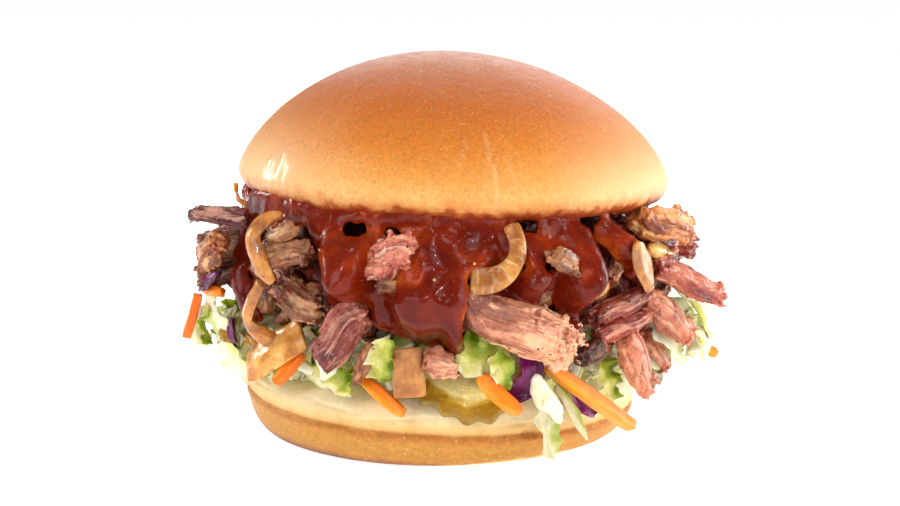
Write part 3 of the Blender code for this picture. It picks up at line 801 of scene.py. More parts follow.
pale_cabbage = veg_finish(
    "white_cabbage", (0.0, (0.72, 0.76, 0.24)), (0.3, (0.88, 0.87, 0.50)), (0.7, (0.95, 0.92, 0.70)),
    (1.0, (0.78, 0.79, 0.28)), soak=0.5, reach=(3, 3, 1.6), grain=0.45,
)
green_cabbage = veg_finish(
    "green_cabbage", (0.0, (0.15, 0.25, 0.010)), (0.2, (0.30, 0.38, 0.022)), (0.46, (0.50, 0.49, 0.08)),
    (0.75, (0.70, 0.65, 0.23)), (1.0, (0.80, 0.75, 0.40)), soak=0.4, grain=0.35,
)
# A darker copy of the white cabbage, as painted shade: it goes on the two leaves that hang low at the front, which
# the glowing table lights from below.
hanging_cabbage = veg_finish(
    "hanging_cabbage", (0.0, (0.34, 0.38, 0.05)), (0.25, (0.52, 0.51, 0.18)), (0.6, (0.62, 0.56, 0.38)),
    (1.0, (0.60, 0.55, 0.28)), soak=0.35, reach=(2, 2, 1.2), grain=0.6,
)
red_cabbage = veg_finish(
    "red_cabbage", (0.0, (0.075, 0.001, 0.034)), (0.5, (0.125, 0.002, 0.066)), (0.85, (0.20, 0.008, 0.120)),
    (1.0, (0.42, 0.15, 0.32)), roughness=0.22, soak=0.15, reach=(1, 0.3, 0.8), grain=0.9, specular=0.2,
)
orange_carrot = veg_finish(
    "carrot", (0.0, (0.84, 0.15, 0.004)), (0.5, (0.92, 0.22, 0.006)), (1.0, (0.95, 0.32, 0.014)),
    roughness=0.30, coat=0.2, reach=(2.5, 1.0, 0.2), grain=0.35,
)

# Nothing scattered hangs below this, in mm, so the heel's shoulder stays clear.
LOWEST_SHRED = 15
dice = random.Random(21)
for name, finish, slot, many, length, half, thin, ruffle, out_to in (
    ("white_cabbage_leaves", pale_cabbage, "slaw", 44, (8, 13), (2.2, 4.0), 0.38, 1.0, 1.2),
    ("green_cabbage_leaves", green_cabbage, "leaf", 40, (7, 12), (2.2, 3.8), 0.34, 1.3, 1.4),
    ("white_cabbage_shreds", pale_cabbage, "slaw", 330, (7, 17), (0.9, 2.0), 0.42, 0.35, 1.8),
    ("green_cabbage_shreds", green_cabbage, "leaf", 110, (6, 13), (1.0, 2.4), 0.35, 0.7, 2.2),
    ("red_cabbage_shreds", red_cabbage, "red_cabbage", 30, (6, 13), (0.8, 1.6), 0.5, 0.2, 2.4),
    ("carrot_shreds", orange_carrot, "carrot", 30, (8, 18), (1.2, 1.6), 1.2, 0.0, 2.4),
):
    slabs = []
    for k in range(many):
        around = dice.uniform(-180, 180)
        up = dice.uniform(18.5, 30)
        front = abs(around) < 62
        if front and (slot in ("carrot", "red_cabbage") or (-13 < around < 28 and up < 26)):
            continue
        spot, away = slaw_at(around, up)
        tangent = Vector((-away.y, away.x, 0))
        pitch = dice.gauss(0, 0.5)
        jut = dice.uniform(-0.25, 0.25) if front else dice.uniform(-0.3, 0.7)
        ahead = tangent * math.cos(pitch) * dice.choice((-1, 1)) + Vector((0, 0, math.sin(pitch))) + away * jut
        long = dice.uniform(*length)
        spot = spot + away * (dice.uniform(-0.6, 0.6 if front else out_to) + max(jut, 0) * long * 0.3) * MM
        bend = -away * dice.uniform(2, 7) + Vector((0, 0, dice.uniform(-6, 1)))
        if front:
            bend = -away * long * 0.30
        spine = loose_spine(spot, ahead, long, bend, (dice.uniform(*half), thin))
        spine["at"][:, 2] += max(LOWEST_SHRED * MM - spine["at"][:, 2].min(), 0)
        form = dict(
            thin=thin * dice.uniform(0.8, 1.3), ruffle=ruffle, waves=dice.uniform(1, 3),
            cup=dice.uniform(-0.3, 0.5) if slot != "carrot" else 0, twist=dice.uniform(-1.2, 1.2),
            square=slot == "carrot",
        )
        slabs.append((leafy if name.endswith("leaves") else ribbon, spine, k, form))
    slab_piece(name, finish, slot, slabs)

UPRIGHT, LEFTWARDS = (0, 0, 1), (-1, 0, 0)
for node, slot, finish, lean, thin, ruffle, waves, cup, form in (
    ("leaf_left_outer", "leaf", green_cabbage, UPRIGHT, 0.4, 1.0, 2.4, 0.35, dict(size=1.35)),
    ("leaf_front_left", "leaf", green_cabbage, (-1, 0, 0.3), 0.4, 1.5, 3.0, 0.25, dict(size=1.2, edges=0.25)),
    ("leaf_front_curl", "leaf", green_cabbage, UPRIGHT, 0.42, 1.8, 2.6, 0.35, dict(size=1.25, edges=0.25)),
    ("leaf_front_wide", "leaf", green_cabbage, LEFTWARDS, 0.45, 1.7, 3.4, 0.2, dict(size=1.7, edges=0.25)),
    ("leaf_front_hanging", "leaf", hanging_cabbage, UPRIGHT, 0.5, 1.2, 2.6, 0.35, dict(size=1.15, edges=0.45)),
    ("leaf_front_spike", "leaf", hanging_cabbage, UPRIGHT, 0.5, 0.3, 1.5, 0.2, {}),
    ("leaf_right_curl", "leaf", green_cabbage, UPRIGHT, 0.4, 1.2, 3.4, 0.3, dict(size=1.6, edges=0.3)),
    ("leaf_right_outer", "leaf", pale_cabbage, UPRIGHT, 0.5, 1.6, 3.0, 0.3, dict(size=1.5, edges=0.35)),
    ("red_cabbage_left_upper", "red_cabbage", red_cabbage, UPRIGHT, 0.6, 0.3, 1.2, 0.3, {}),
    ("red_cabbage_left_small", "red_cabbage", red_cabbage, UPRIGHT, 0.6, 0.3, 1.2, 0.3, {}),
    ("red_cabbage_front_curl", "red_cabbage", red_cabbage, UPRIGHT, 0.75, 0.5, 1.6, 0.4, dict(size=1.15)),
    ("red_cabbage_right_low", "red_cabbage", red_cabbage, UPRIGHT, 0.7, 0.5, 1.6, 0.3, {}),
    ("red_cabbage_right_small", "red_cabbage", red_cabbage, UPRIGHT, 0.6, 0.2, 1.2, 0.3, {}),
):
    form.update(thin=thin, ruffle=ruffle, waves=waves, cup=cup)
    slab_piece(node + "_shred", finish, slot, [(broad, spine_of(node, lean), len(node), form)], node)

# Loose wedges of the white cabbage, layer on layer: (x, y, z, half width) along each.
WEDGES = (
    [(56, -16, 42, 2.4), (62, -15, 38, 4.0), (67, -14, 32, 4.6), (70, -13, 25, 3.4)],
    [(57, -20, 37, 2.4), (62, -20, 32, 4.0), (66, -19, 26, 4.2), (68, -18, 20, 2.6)],
    [(60, -8, 33, 2.6), (66, -7, 29, 4.0), (71, -7, 22, 3.0)],
    [(53, -29, 30, 2.4), (58, -27, 26, 3.4), (61, -25, 20, 2.6)],
    [(-60, -12, 35, 2.4), (-57, -16, 31, 3.6), (-53, -19, 26, 3.0)],
    [(-55, -24, 26, 2.2), (-51, -27, 22, 3.2), (-46, -30, 18, 2.4)],
)
form = dict(thin=0.45, ruffle=0.9, waves=1.8, cup=0.4, edges=0.3)
slabs = [(leafy, routed_spine(route), k + 3, form) for k, route in enumerate(WEDGES)]
slab_piece("white_cabbage_wedges", pale_cabbage, "slaw", slabs)
frill = routed_spine([(12.5, -55.6, 30, 2.2), (15.2, -56.2, 26, 2.8), (15.0, -56.0, 21.5, 1.8)])
form = dict(thin=0.4, ruffle=1.1, waves=2.2, cup=0.3, edges=0.3)
slab_piece("green_cabbage_frill", green_cabbage, "leaf", [(leafy, frill, 6, form)])

for place, lean, thin in (
    ("left_outer", UPRIGHT, 1.2), ("left_stub", LEFTWARDS, 1.5), ("left_low", UPRIGHT, 1.3),
    ("front_left", LEFTWARDS, 1.7), ("front_middle", LEFTWARDS, 1.9), ("front_long", LEFTWARDS, 1.7),
    ("right_outer", LEFTWARDS, 1.2),
):
    node = "carrot_" + place
    slabs = [(broad, spine_of(node, lean), len(place) + 3, dict(thin=thin, edges=0.07, square=True))]
    slab_piece(node + "_stick", orange_carrot, "carrot", slabs, node)

dressing = Finish("slaw_dressing", 0.22, 0.5, coat=0.4, coat_roughness=0.06, soak=0.6, reach=(3, 3, 1.8))
dressing.colour(dressing.ramp(dressing.noise(0.35, 3), (0.35, (0.72, 0.70, 0.44)), (0.65, (0.86, 0.82, 0.64))))
dressing.bump(dressing.noise(0.4, 2), 0.3)
piece_of(remeshed(merged_copy("dressing_drop"), 0.35, 14), "dressing_blob", dressing, "dressing", "dressing_drop")

# Clots of the dressing where it has gathered: (x, y, z, radius) of the beads that run together.
CLOTS = (
    [
        (23.2, -53.4, 23.4, 1.6), (23.8, -53.8, 20.8, 2.2), (25.2, -54.0, 18.6, 2.6), (27.4, -53.6, 16.4, 2.0),
        (28.4, -53.8, 14.2, 1.5),
    ],
    [(-27.6, -49.6, 27.2, 1.6), (-26.0, -50.0, 25.4, 2.0), (-27.2, -49.8, 23.6, 1.3)],
    [(60.0, -17.4, 26.4, 2.2), (61.4, -14.8, 24.0, 2.4), (60.4, -16.4, 21.6, 1.8)],
)
clots = bmesh.new()
for beads in CLOTS:
    for first, last in zip(beads, beads[1:] + beads[-1:]):
        for share in (0, 0.35, 0.7):
            x, y, z, radius = (a * (1 - share) + b * share for a, b in zip(first, last))
            bead = Matrix.Translation(Vector((x, y, z)) * MM) @ Matrix.Diagonal((1, 0.62, 1.1, 1))
            bmesh.ops.create_icosphere(clots, subdivisions=3, radius=radius * MM, matrix=bead)
dice = random.Random(31)
for _ in range(34):
    spot, away = slaw_at(dice.uniform(-180, 180), dice.uniform(19, 29))
    for _ in range(3):
        near = spot + away * 0.4 * MM + Vector([dice.uniform(-1.6, 1.6) * MM for _ in range(3)])
        radius = dice.uniform(0.9, 1.9) * MM
        bmesh.ops.create_icosphere(clots, subdivisions=2, radius=radius, matrix=Matrix.Translation(near))
clots = remeshed(clots, 0.36, 10)
places = corners_of(clots)
move(clots, swollen(clots, 0.35 * grit(places, 0.35, 2) + 0.12 * grit(places, 0.9, 3)))
piece_of(clots, "dressing_clots", dressing, "dressing")

# ---------------------------------------------------------------- the brisket
# Smoked beef, chopped and pulled: lengths of muscle that part into fibres, smoke-pink or tan
# inside, with seams of fat, dark peppery bark outside, and torn ragged ends.

strand, trunk = tube(6, 9), tube(14, 11)
crumb = bmesh.new()
bmesh.ops.create_icosphere(crumb, subdivisions=1, radius=1)
crumb = mesh_of(crumb)

# Each strand starts this many radians further round than the last, so that no two rows line up.
GOLDEN_TURN = 2.39996


def fibres(
    spine, seed, bundles=9, strands=40, gauge=0.32, ragged=(1, 1), crumbs=(0, 0), voxel=0.32, lift=0.1,
    square=2.8, lobes=0.2, size=(1, 1), ends=(0.8, 0.8), reach=(0, 0),
):
    """A torn length of muscle: a trunk wrapped in long bundles, loose strands laid along them, and
    crumbs on its ends.

    gauge is a strand's half width and ragged how far strands stand past each end, in mm. square is
    how boxy the piece is across, lobes how uneven, and ends how much of its size each end keeps.
    reach is how far the piece goes past each end of its spine, in mm.
    """
    dice = np.random.default_rng(seed)
    length = spine["length"] / MM
    full = {**spine}
    low, high = np.linspace(1, 0, spine["count"]) ** 2, np.linspace(0, 1, spine["count"]) ** 2
    for field, scale in zip(("wide", "thick"), size):
        widest = np.sort(spine[field])[-4:].mean()
        least = widest * (ends[0] * low + ends[1] * high + 0.85 * (1 - low - high))
        full[field] = np.maximum(spine[field], least) * scale
    back, on = (spine["ahead"] * (far * MM * near)[:, None] for far, near in zip(reach, (low, high)))
    full["at"] = spine["at"] - back + on

    def along(share):
        return on_spine(full, share, "at", "side", "face", "wide", "thick")

    def skin(turn, share):
        boxy = (np.abs(np.cos(turn)) ** square + np.abs(np.sin(turn)) ** square) ** (-1 / square)
        spot = np.stack([np.cos(turn) * 1.3, np.sin(turn) * 1.3, share * length * 0.17], axis=-1).reshape(-1, 3)
        uneven = grit(spot * MM, 1.0, seed) + 0.5 * grit(spot * MM, 2.3, seed + 40)
        return boxy * (1 + lobes * uneven.reshape(np.shape(boxy)))

    shape = bmesh.new()
    form = corners_of(trunk)
    share = form[:, 2] + 0.5
    turn, depth = np.arctan2(form[:, 1], form[:, 0]), np.hypot(form[:, 0], form[:, 1])
    cut = 0.9 * grit(np.stack([np.cos(turn), np.sin(turn), share * 3], axis=1) * MM, 0.9, seed + 7) / length
    at, side, face, wide, thick = along(share + cut * np.abs(2 * share - 1))
    out_to = 0.86 * depth * skin(turn, share)
    across, out = np.cos(turn) * wide * out_to, np.sin(turn) * thick * out_to
    rows = [at + side * across[:, None] + face * out[:, None]]
    for k in range(bundles):
        begin, end = -dice.uniform(0, 0.9) * ragged[0] / length, 1 + dice.uniform(0, 0.9) * ragged[1] / length
        if k % 3 == 2:
            begin, end = (begin, dice.uniform(0.6, 0.85)) if dice.random() < 0.5 else (dice.uniform(0.15, 0.4), end)
        share = begin + (end - begin) * (form[:, 2] + 0.5)
        at, side, face, wide, thick = along(share)
        turn = k * 2 * math.pi / bundles + dice.uniform(-0.25, 0.25) + dice.uniform(-0.5, 0.5) * (share - 0.5)
        out_to = 0.62 * skin(turn, share)
        round_off = np.sqrt(np.clip(1 - 0.75 * np.abs(2 * form[:, 2]) ** 5, 0, 1)) * dice.uniform(0.75, 1.2)
        half_wide, half_deep = dice.uniform(0.36, 0.52), dice.uniform(0.26, 0.36)
        lean = turn + dice.uniform(-0.4, 0.4)
        upright = lean + math.pi / 2
        across = np.cos(upright) * form[:, 0] * half_wide + np.cos(lean) * form[:, 1] * half_deep
        out = np.sin(upright) * form[:, 0] * half_wide + np.sin(lean) * form[:, 1] * half_deep
        across = wide * (np.cos(turn) * out_to + across * round_off)
        out = thick * (np.sin(turn) * out_to + out * round_off)
        rows.append(at + side * across[:, None] + face * out[:, None])
    add_copies(shape, trunk, rows)

    form = corners_of(strand)
    rows = []
    for k in range(strands):
        around = k * GOLDEN_TURN + dice.uniform(-0.4, 0.4)
        long = dice.uniform(0.18, 0.6)
        begin = dice.uniform(-ragged[0] / length, 1 + ragged[1] / length - long)
        if k % 3 == 0 and dice.random() < 0.5:
            begin = -ragged[0] * dice.uniform(0, 1) / length
        elif k % 3 == 0:
            begin = 1 - long + ragged[1] * dice.uniform(0, 1) / length
        share = begin + long * (form[:, 2] + 0.5)
        at, side, face, wide, thick = along(share)
        sway = 0.15 * np.sin(share * dice.uniform(3, 8) + dice.uniform(0, 6))
        turn = around + sway + dice.uniform(-1.3, 1.3) * (share - 0.5)
        out_to = dice.uniform(0.86, 0.97) * skin(turn, share)
        to_end = np.abs(2 * form[:, 2])
        loose = dice.uniform(0, 1) ** 2 * lift * 10 * MM * np.clip(to_end - 0.3, 0, 1) ** 2
        taper = (1 - 0.45 * to_end**4) * gauge * dice.uniform(0.55, 1.5) * MM
        across = np.cos(turn) * (wide * out_to + loose) + form[:, 0] * taper
        out = np.sin(turn) * (thick * out_to + loose) + form[:, 1] * taper
        rows.append(at + side * across[:, None] + face * out[:, None])
    add_copies(shape, strand, rows)

    form = corners_of(crumb)
    rows = []
    for place in [0.0] * crumbs[0] + [1.0] * crumbs[1]:
        share = place + (0.5 - place) * abs(dice.normal(0, 0.22))
        swing = dice.uniform(0, 2 * math.pi)
        spread = math.sqrt(dice.uniform(0.05, 1)) * 0.98 if abs(share - place) < 1.5 / length else 0.97
        at, side, face, wide, thick = (one[0] for one in along([share]))
        spread = spread * float(skin(np.array([swing]), np.array([share]))[0])
        middle = at + side * math.cos(swing) * wide * spread + face * math.sin(swing) * thick * spread
        grains = dice.uniform(0.4, 1.15) * dice.uniform(0.6, 1.3, 3) * MM
        rows.append(middle + (form * (1 + 0.35 * dice.uniform(-1, 1, len(form)))[:, None]) * grains)
    add_copies(shape, crumb, rows)
    return remeshed(shape, voxel, 3)


def roughened(mesh, spine, seed, depth=0.16, tone=(0.5, 0.0), spread=0.25, torn=(0.3, 0.3)):
    """Grooves along the grain and torn pits, with the notes that the meat's material reads.

    tone is the meat's shade at the start, and how much it changes to the end; a high tone is paler.
    torn is how pitted each end is, in mm.
    """
    places = corners_of(mesh)
    share, across, out = local_to(spine, places)
    grain = np.stack([across, out, share * spine["length"]], axis=1)
    wide, thick = on_spine(spine, share, "wide", "thick")
    hollow = np.hypot(across / wide, out / thick)
    stray = [grit(places, 0.13, seed + 8), grit(places, 0.13, seed + 9), np.zeros(len(places))]
    swayed = grain + np.stack(stray, axis=1) * 1.2 * MM
    bundles = 1.2 * grit(swayed * (1, 1, 0.10), 0.50, seed)
    fine = 0.5 - 1.8 * np.abs(grit(swayed * (1, 1, 0.09), 1.15, seed + 4))
    pits = grit(places, 1.35, seed + 1) + 0.6 * grit(places, 2.4, seed + 5)
    lumps = grit(places, 0.30, seed + 2) + 0.5 * grit(places, 0.6, seed + 12)
    rough = 0.07 + torn[0] * np.clip(1 - share * 3.2, 0, 1) + torn[1] * np.clip(share * 3.2 - 2.2, 0, 1)
    move(mesh, swollen(mesh, depth * (0.9 * bundles + 0.9 * fine + 0.9 * lumps) + rough * pits))
    mottle = 0.8 * grit(places, 0.16, seed + 3) + 0.3 * grit(places, 0.45, seed + 6)
    mottle = mottle + 1.1 * grit(swayed * (1, 1, 0.07), 0.42, seed + 7)
    # The hollow note is low in the grooves between bundles and deep in the piece, with the ends kept high; the meat's
    # material paints shade there.
    shallow = np.clip((hollow - 0.45) / 0.5 + np.abs(2 * share - 1) ** 6, 0, 1)
    raised = np.clip(0.75 + 0.7 * bundles + 0.4 * lumps + 0.2 * pits, 0, 1)
    note(mesh, "grain", grain)
    note(mesh, "tone", np.clip(tone[0] + tone[1] * share + spread * mottle, 0, 1))
    note(mesh, "hollow", shallow * raised)
    return mesh


def meat_finish(name, dark, middle, pale, fat, fat_share=0.16, roughness=0.30, burnt=0.0, sauced=0.35):
    """Streaky cooked meat, wet with its own fat. dark to pale follow the tone; fat runs in seams.

    burnt and sauced are how much of it is crusted black, and smeared with the sauce.
    """
    made = Finish(name, roughness, 0.24, coat=0.4, coat_roughness=0.07, soak=0.35, reach=(1.8, 0.6, 0.35))
    grain = made.note("grain", "Vector")
    drawn = made.stretched(grain, (1, 1, 0.12))
    streak = made.fit(made.noise(1.3, 4, 0.66, 0.25, at=drawn), (0.3, 0.7), (-0.22, 0.22))
    patch = made.fit(made.noise(0.26, 5, 0.66, 0.5), (0.3, 0.7), (-0.26, 0.26))
    shade = made.add(made.add(made.note("tone"), streak), patch)
    colour = made.ramp(shade, (0.05, dark), (0.48, middle), (0.95, pale))
    seam = made.noise(0.55, 4, 0.6, 0.5, at=made.stretched(grain, (1, 1, 0.2)))
    white = made.ramp(seam, (0.64 - fat_share * 0.5, 0.0), (0.70 - fat_share * 0.4, 1.0))
    colour = made.mix(made.times(white, 0.7), colour, fat)
    # Painted shade: the colour goes towards dark where the hollow note is low, in the creases and the inside of the
    # piece.
    colour = made.mix(made.ramp(made.note("hollow"), (0.05, 0.45), (0.40, 0.0)), colour, dark)
    if burnt:
        crust = made.ramp(made.noise(0.55, 4, 0.65), (0.60 - burnt * 0.3, 0.0), (0.70 - burnt * 0.3, 1.0))
        colour = made.mix(made.times(crust, 0.85), colour, (0.045, 0.014, 0.008))
    smear = made.ramp(made.noise(0.17, 4, 0.6, 0.7), (0.66 - sauced * 0.3, 0.0), (0.74 - sauced * 0.3, 0.85))
    made.colour(made.mix(smear, colour, (0.20, 0.018, 0.005)))
    wet = made.ramp(made.noise(0.7, 3, 0.6), (0.35, roughness * 0.6), (0.65, min(roughness * 1.5, 1)))
    made.feed(made.shader, "Roughness", wet)
    made.bump(made.noise(2.4, 3, 0.6, at=drawn), 0.22)
    made.bump(made.noise(1.8, 4, 0.7), 0.14)
    return made


rosy = meat_finish(
    "rosy_brisket", (0.17, 0.016, 0.010), (0.40, 0.072, 0.045), (0.70, 0.24, 0.155), (0.84, 0.48, 0.30), 0.26
)
salmon = meat_finish(
    "salmon_brisket", (0.20, 0.060, 0.036), (0.44, 0.150, 0.080), (0.92, 0.45, 0.25), (0.90, 0.55, 0.32),
    0.10, sauced=0.22,
)
coral = meat_finish(
    "coral_brisket", (0.20, 0.026, 0.013), (0.42, 0.105, 0.048), (0.64, 0.22, 0.105), (0.78, 0.40, 0.22),
    0.20, sauced=0.34,
)
tan = meat_finish(
    "tan_brisket", (0.055, 0.013, 0.006), (0.20, 0.065, 0.024), (0.44, 0.180, 0.072), (0.56, 0.30, 0.13), 0.18
)
plum = meat_finish(
    "plum_brisket", (0.075, 0.006, 0.006), (0.22, 0.026, 0.020), (0.46, 0.135, 0.092), (0.72, 0.36, 0.25), 0.26
)
crimson = meat_finish(
    "crimson_brisket", (0.090, 0.007, 0.005), (0.32, 0.044, 0.024), (0.56, 0.150, 0.080), (0.74, 0.34, 0.20),
    0.16, sauced=0.25,
)
deep = meat_finish(
    "deep_brisket", (0.030, 0.004, 0.003), (0.100, 0.014, 0.008), (0.20, 0.040, 0.022), (0.30, 0.09, 0.04),
    0.12, sauced=0.75,
)
bark = meat_finish(
    "brisket_bark", (0.025, 0.006, 0.004), (0.095, 0.020, 0.008), (0.28, 0.080, 0.026), (0.36, 0.13, 0.045),
    0.12, 0.28, burnt=0.55, sauced=0.30,
)
amber = meat_finish(
    "amber_brisket", (0.18, 0.035, 0.008), (0.46, 0.135, 0.032), (0.78, 0.32, 0.09), (0.82, 0.45, 0.16), 0.20
)

for node, finish, slot, form, look in (
    ("front_large", salmon, "meat_pink", dict(
        bundles=11, strands=46, ragged=(0.5, 2.6), crumbs=(0, 190), voxel=0.26, lift=0.25, lobes=0.25,
        size=(1.1, 1.05), ends=(0.55, 1.12), reach=(3.5, 3),
    ), dict(depth=0.15, tone=(-0.02, 1.45), spread=0.3, torn=(0.05, 0.6))),
    ("front_small", salmon, "meat_pink", dict(strands=24, ragged=(0.6, 1), crumbs=(8, 22)),
     dict(depth=0.2, tone=(0.42, 0.2), torn=(0.3, 0.4))),
    ("centre", rosy, "meat_pink", dict(
        strands=30, ragged=(1.5, 1.5), crumbs=(30, 30), voxel=0.28, lobes=0.35, size=(1.15, 1.15),
    ), dict(depth=0.22, tone=(0.50, 0.0), spread=0.6, torn=(0.4, 0.4))),
    ("centre_low", tan, "meat_brown", dict(strands=26, ragged=(1.4, 1.4), crumbs=(18, 18), lobes=0.35),
     dict(depth=0.22, tone=(0.45, 0.1), torn=(0.4, 0.4))),
    ("left_low", plum, "meat_pink", dict(
        bundles=7, strands=36, ragged=(0.8, 1.6), crumbs=(10, 26), voxel=0.28, lobes=0.24, size=(0.98, 1),
        ends=(0.85, 0.6),
    ), dict(depth=0.17, tone=(0.60, 0.0), spread=0.6, torn=(0.2, 0.4))),
    ("left_tail", tan, "meat_brown", dict(strands=16), dict(depth=0.14, tone=(0.6, 0.1))),
    ("left_slice", tan, "meat_brown", dict(
        bundles=6, strands=26, ragged=(0.4, 1.2), crumbs=(4, 12), voxel=0.28, square=4, lobes=0.14,
    ), dict(depth=0.14, tone=(0.50, 0.1), torn=(0.2, 0.35))),
    ("left_slice_upper", tan, "meat_brown", dict(bundles=6, strands=20, square=4, crumbs=(4, 8)),
     dict(depth=0.13, tone=(0.58, 0.1))),
    ("left_shreds", tan, "meat_brown", dict(
        strands=40, gauge=0.4, ragged=(2.4, 2.4), crumbs=(16, 20), lift=0.35, lobes=0.4,
    ), dict(depth=0.2, tone=(0.4, 0.1), torn=(0.4, 0.4))),
    ("left_tip", plum, "meat_brown", dict(
        strands=24, gauge=0.4, ragged=(2.2, 0.6), crumbs=(20, 0), lift=0.3, lobes=0.38, ends=(0.35, 0.9),
    ), dict(depth=0.24, tone=(-0.10, -0.30), torn=(0.4, 0.1))),
    ("left_block", amber, "meat_brown", dict(strands=20, crumbs=(20, 20), lobes=0.35, size=(0.85, 0.85)),
     dict(depth=0.2, tone=(0.30, 0.1), spread=0.45, torn=(0.4, 0.4))),
    ("right_top", amber, "meat_brown", dict(
        strands=30, ragged=(0.6, 2.2), crumbs=(8, 40), lift=0.2, voxel=0.28, lobes=0.3,
    ), dict(depth=0.2, tone=(0.42, 0.35), spread=0.45, torn=(0.2, 0.5))),
    ("right_point", crimson, "meat_pink", dict(
        bundles=7, strands=34, ragged=(0.6, 1.8), crumbs=(4, 20), voxel=0.28, square=4,
    ), dict(depth=0.12, tone=(0.50, 0.1), spread=0.4, torn=(0.1, 0.3))),
    ("right_strand_upper", crimson, "meat_pink", dict(
        bundles=6, size=(1.1, 1.1), strands=26, ragged=(0.6, 1.6), crumbs=(4, 8), voxel=0.28,
    ), dict(depth=0.12, tone=(0.42, 0.15), spread=0.35)),
    ("right_strand_lower", crimson, "meat_pink", dict(
        bundles=5, size=(1.15, 1.1), strands=22, ragged=(0.6, 1.4), crumbs=(2, 8), voxel=0.28,
    ), dict(depth=0.11, tone=(0.55, 0.15), spread=0.35)),
    ("right_pink", coral, "meat_pink", dict(
        bundles=5, size=(1.15, 1.0), strands=26, ragged=(0.6, 1.8), crumbs=(0, 16), voxel=0.28, square=4,
    ), dict(depth=0.13, tone=(0.60, 0.15), torn=(0.1, 0.35))),
    ("right_hanging", coral, "meat_pink", dict(
        bundles=5, size=(1.15, 1.0), strands=26, ragged=(0.6, 2.0), crumbs=(4, 22), voxel=0.28, square=4,
        lobes=0.2, ends=(0.9, 0.65),
    ), dict(depth=0.14, tone=(0.58, 0.15), spread=0.4, torn=(0.15, 0.4))),
    ("right_hanging_back", coral, "meat_pink", dict(
        bundles=5, size=(1.2, 1.0), strands=18, ragged=(0.6, 1.6), crumbs=(0, 12),
    ), dict(depth=0.15, tone=(0.45, 0.2))),
    ("right_knob", bark, "meat_brown", dict(strands=20, crumbs=(16, 16), lobes=0.35),
     dict(depth=0.24, tone=(0.55, 0.0), spread=0.5, torn=(0.5, 0.5))),
    ("right_knob_upper", tan, "meat_brown", dict(strands=20, crumbs=(16, 16), lobes=0.35),
     dict(depth=0.22, tone=(0.80, 0.0), spread=0.4, torn=(0.5, 0.5))),
):
    spine = spine_of("brisket_" + node)
    mesh = roughened(fibres(spine, len(node) * 7, **form), spine, len(node), **look)
    piece_of(mesh, "brisket_" + node + "_torn", finish, slot, "brisket_" + node)

# Two more torn pieces, without a node, that carry the outer block and the red cabbage at the left.
for k, (name, spot, lean, half_sizes) in enumerate((
    ("brisket_left_backing", (-53.0, -13.2, 49.0), (1, 0.2, 0.1), (4.2, 3.8)),
    ("brisket_left_footing", (-54.0, -9.5, 42.0), (1, 0.1, 0.35), (4.2, 3.4)),
)):
    home = loose_spine(Vector(spot) * MM, lean, 17, (1, 0, 1), half_sizes)
    torn = fibres(home, 50 + k, strands=24, gauge=0.4, ragged=(1.4, 1.4), crumbs=(14, 14), lobes=0.32)
    piece_of(roughened(torn, home, 50 + k, depth=0.22, tone=(0.40, 0.1), torn=(0.4, 0.4)), name, tan, "meat_brown")

# The heap behind them: a packed core, and bits of the same meat scattered all over it.
heap_core = remeshed(merged_copy("brisket_heap"), 0.8, 6)
places = corners_of(heap_core)
lumps = 1.3 * grit(places, 0.12, 4) + 0.9 * grit(places, 0.30, 5) + 0.35 * grit(places, 0.8, 6)
move(heap_core, swollen(heap_core, lumps - 1.2))
note(heap_core, "grain", corners_of(heap_core))
note(heap_core, "tone", np.clip(0.35 + 0.4 * grit(places, 0.15, 9), 0, 1))
# The hollow note is low between the core's lumps, where its material paints shade.
note(heap_core, "hollow", np.clip(0.5 + 0.3 * lumps, 0, 1))
brisket_at = laid_round(heap_core)
piece_of(heap_core, "brisket_core", deep, "meat_brown", "brisket_heap")

# The bits are copies of a few patterns, each made this far out from the middle and moved back.
MADE_AT_X = 0.05
PATTERNS = 4
dice = random.Random(77)
for kind, finish, slot, many in (
    ("rosy", rosy, "meat_pink", 62), ("tan", tan, "meat_brown", 62), ("bark", bark, "meat_brown", 40),
    ("salmon", salmon, "meat_pink", 30),
):
    patterns = []
    for k in range(PATTERNS):
        long, bend = dice.uniform(8, 13), (dice.uniform(-2, 2), dice.uniform(-2, 2), 0)
        home = loose_spine((MADE_AT_X, 0, 0), (0, 0, 1), long, bend, (dice.uniform(2.4, 4.2), dice.uniform(1.8, 3.0)))
        torn = fibres(
            home, k + 10 * len(kind), strands=22, gauge=0.5, ragged=(1.0, 1.4), crumbs=(10, 12), voxel=0.58,
            lobes=0.32,
        )
        torn = roughened(torn, home, k, depth=0.26, spread=0.4, torn=(0.4, 0.4))
        torn.transform(Matrix.Translation((-MADE_AT_X, 0, 0)))
        patterns.append(torn)
    shape = bmesh.new()
    for k in range(many):
        around, up = dice.uniform(-180, 180), dice.choice((34, 39, 44, 49, 54)) + dice.uniform(-2, 2)
        spot, away = brisket_at(around, min(up, 55))
        tangent = Vector((-away.y, away.x, 0))
        pitch, front = dice.gauss(0, 0.6), -78 < around < 100
        jut = dice.uniform(-0.2, 0.2) if front else dice.uniform(-0.2, 0.8)
        ahead = tangent * math.cos(pitch) * dice.choice((-1, 1)) + Vector((0, 0, math.sin(pitch))) + away * jut
        ahead.normalize()
        across = ahead.cross(away).normalized()
        turn = Matrix((across, ahead.cross(across), ahead)).transposed()
        at = spot + away * (dice.uniform(0.0, 1.0) if front else dice.uniform(0.5, 2.2) + jut * 1.5) * MM
        known = len(shape.verts)
        shape.from_mesh(patterns[k % PATTERNS])
        shape.verts.ensure_lookup_table()
        grow = dice.uniform(0.75, 1.15) * (0.8 if front else 1)
        for corner in shape.verts[known:]:
            corner.co = at + turn @ (corner.co * grow)
    bmesh.ops.recalc_face_normals(shape, faces=shape.faces)
    piece_of(shape, "brisket_" + kind + "_bits", finish, slot)

# ---------------------------------------------------------------- the onions
# Grilled onion: slippery curved slivers, cupped like the layer that they come from, clear amber
# with fine lengthwise veins, and browned along the edges and in spots.

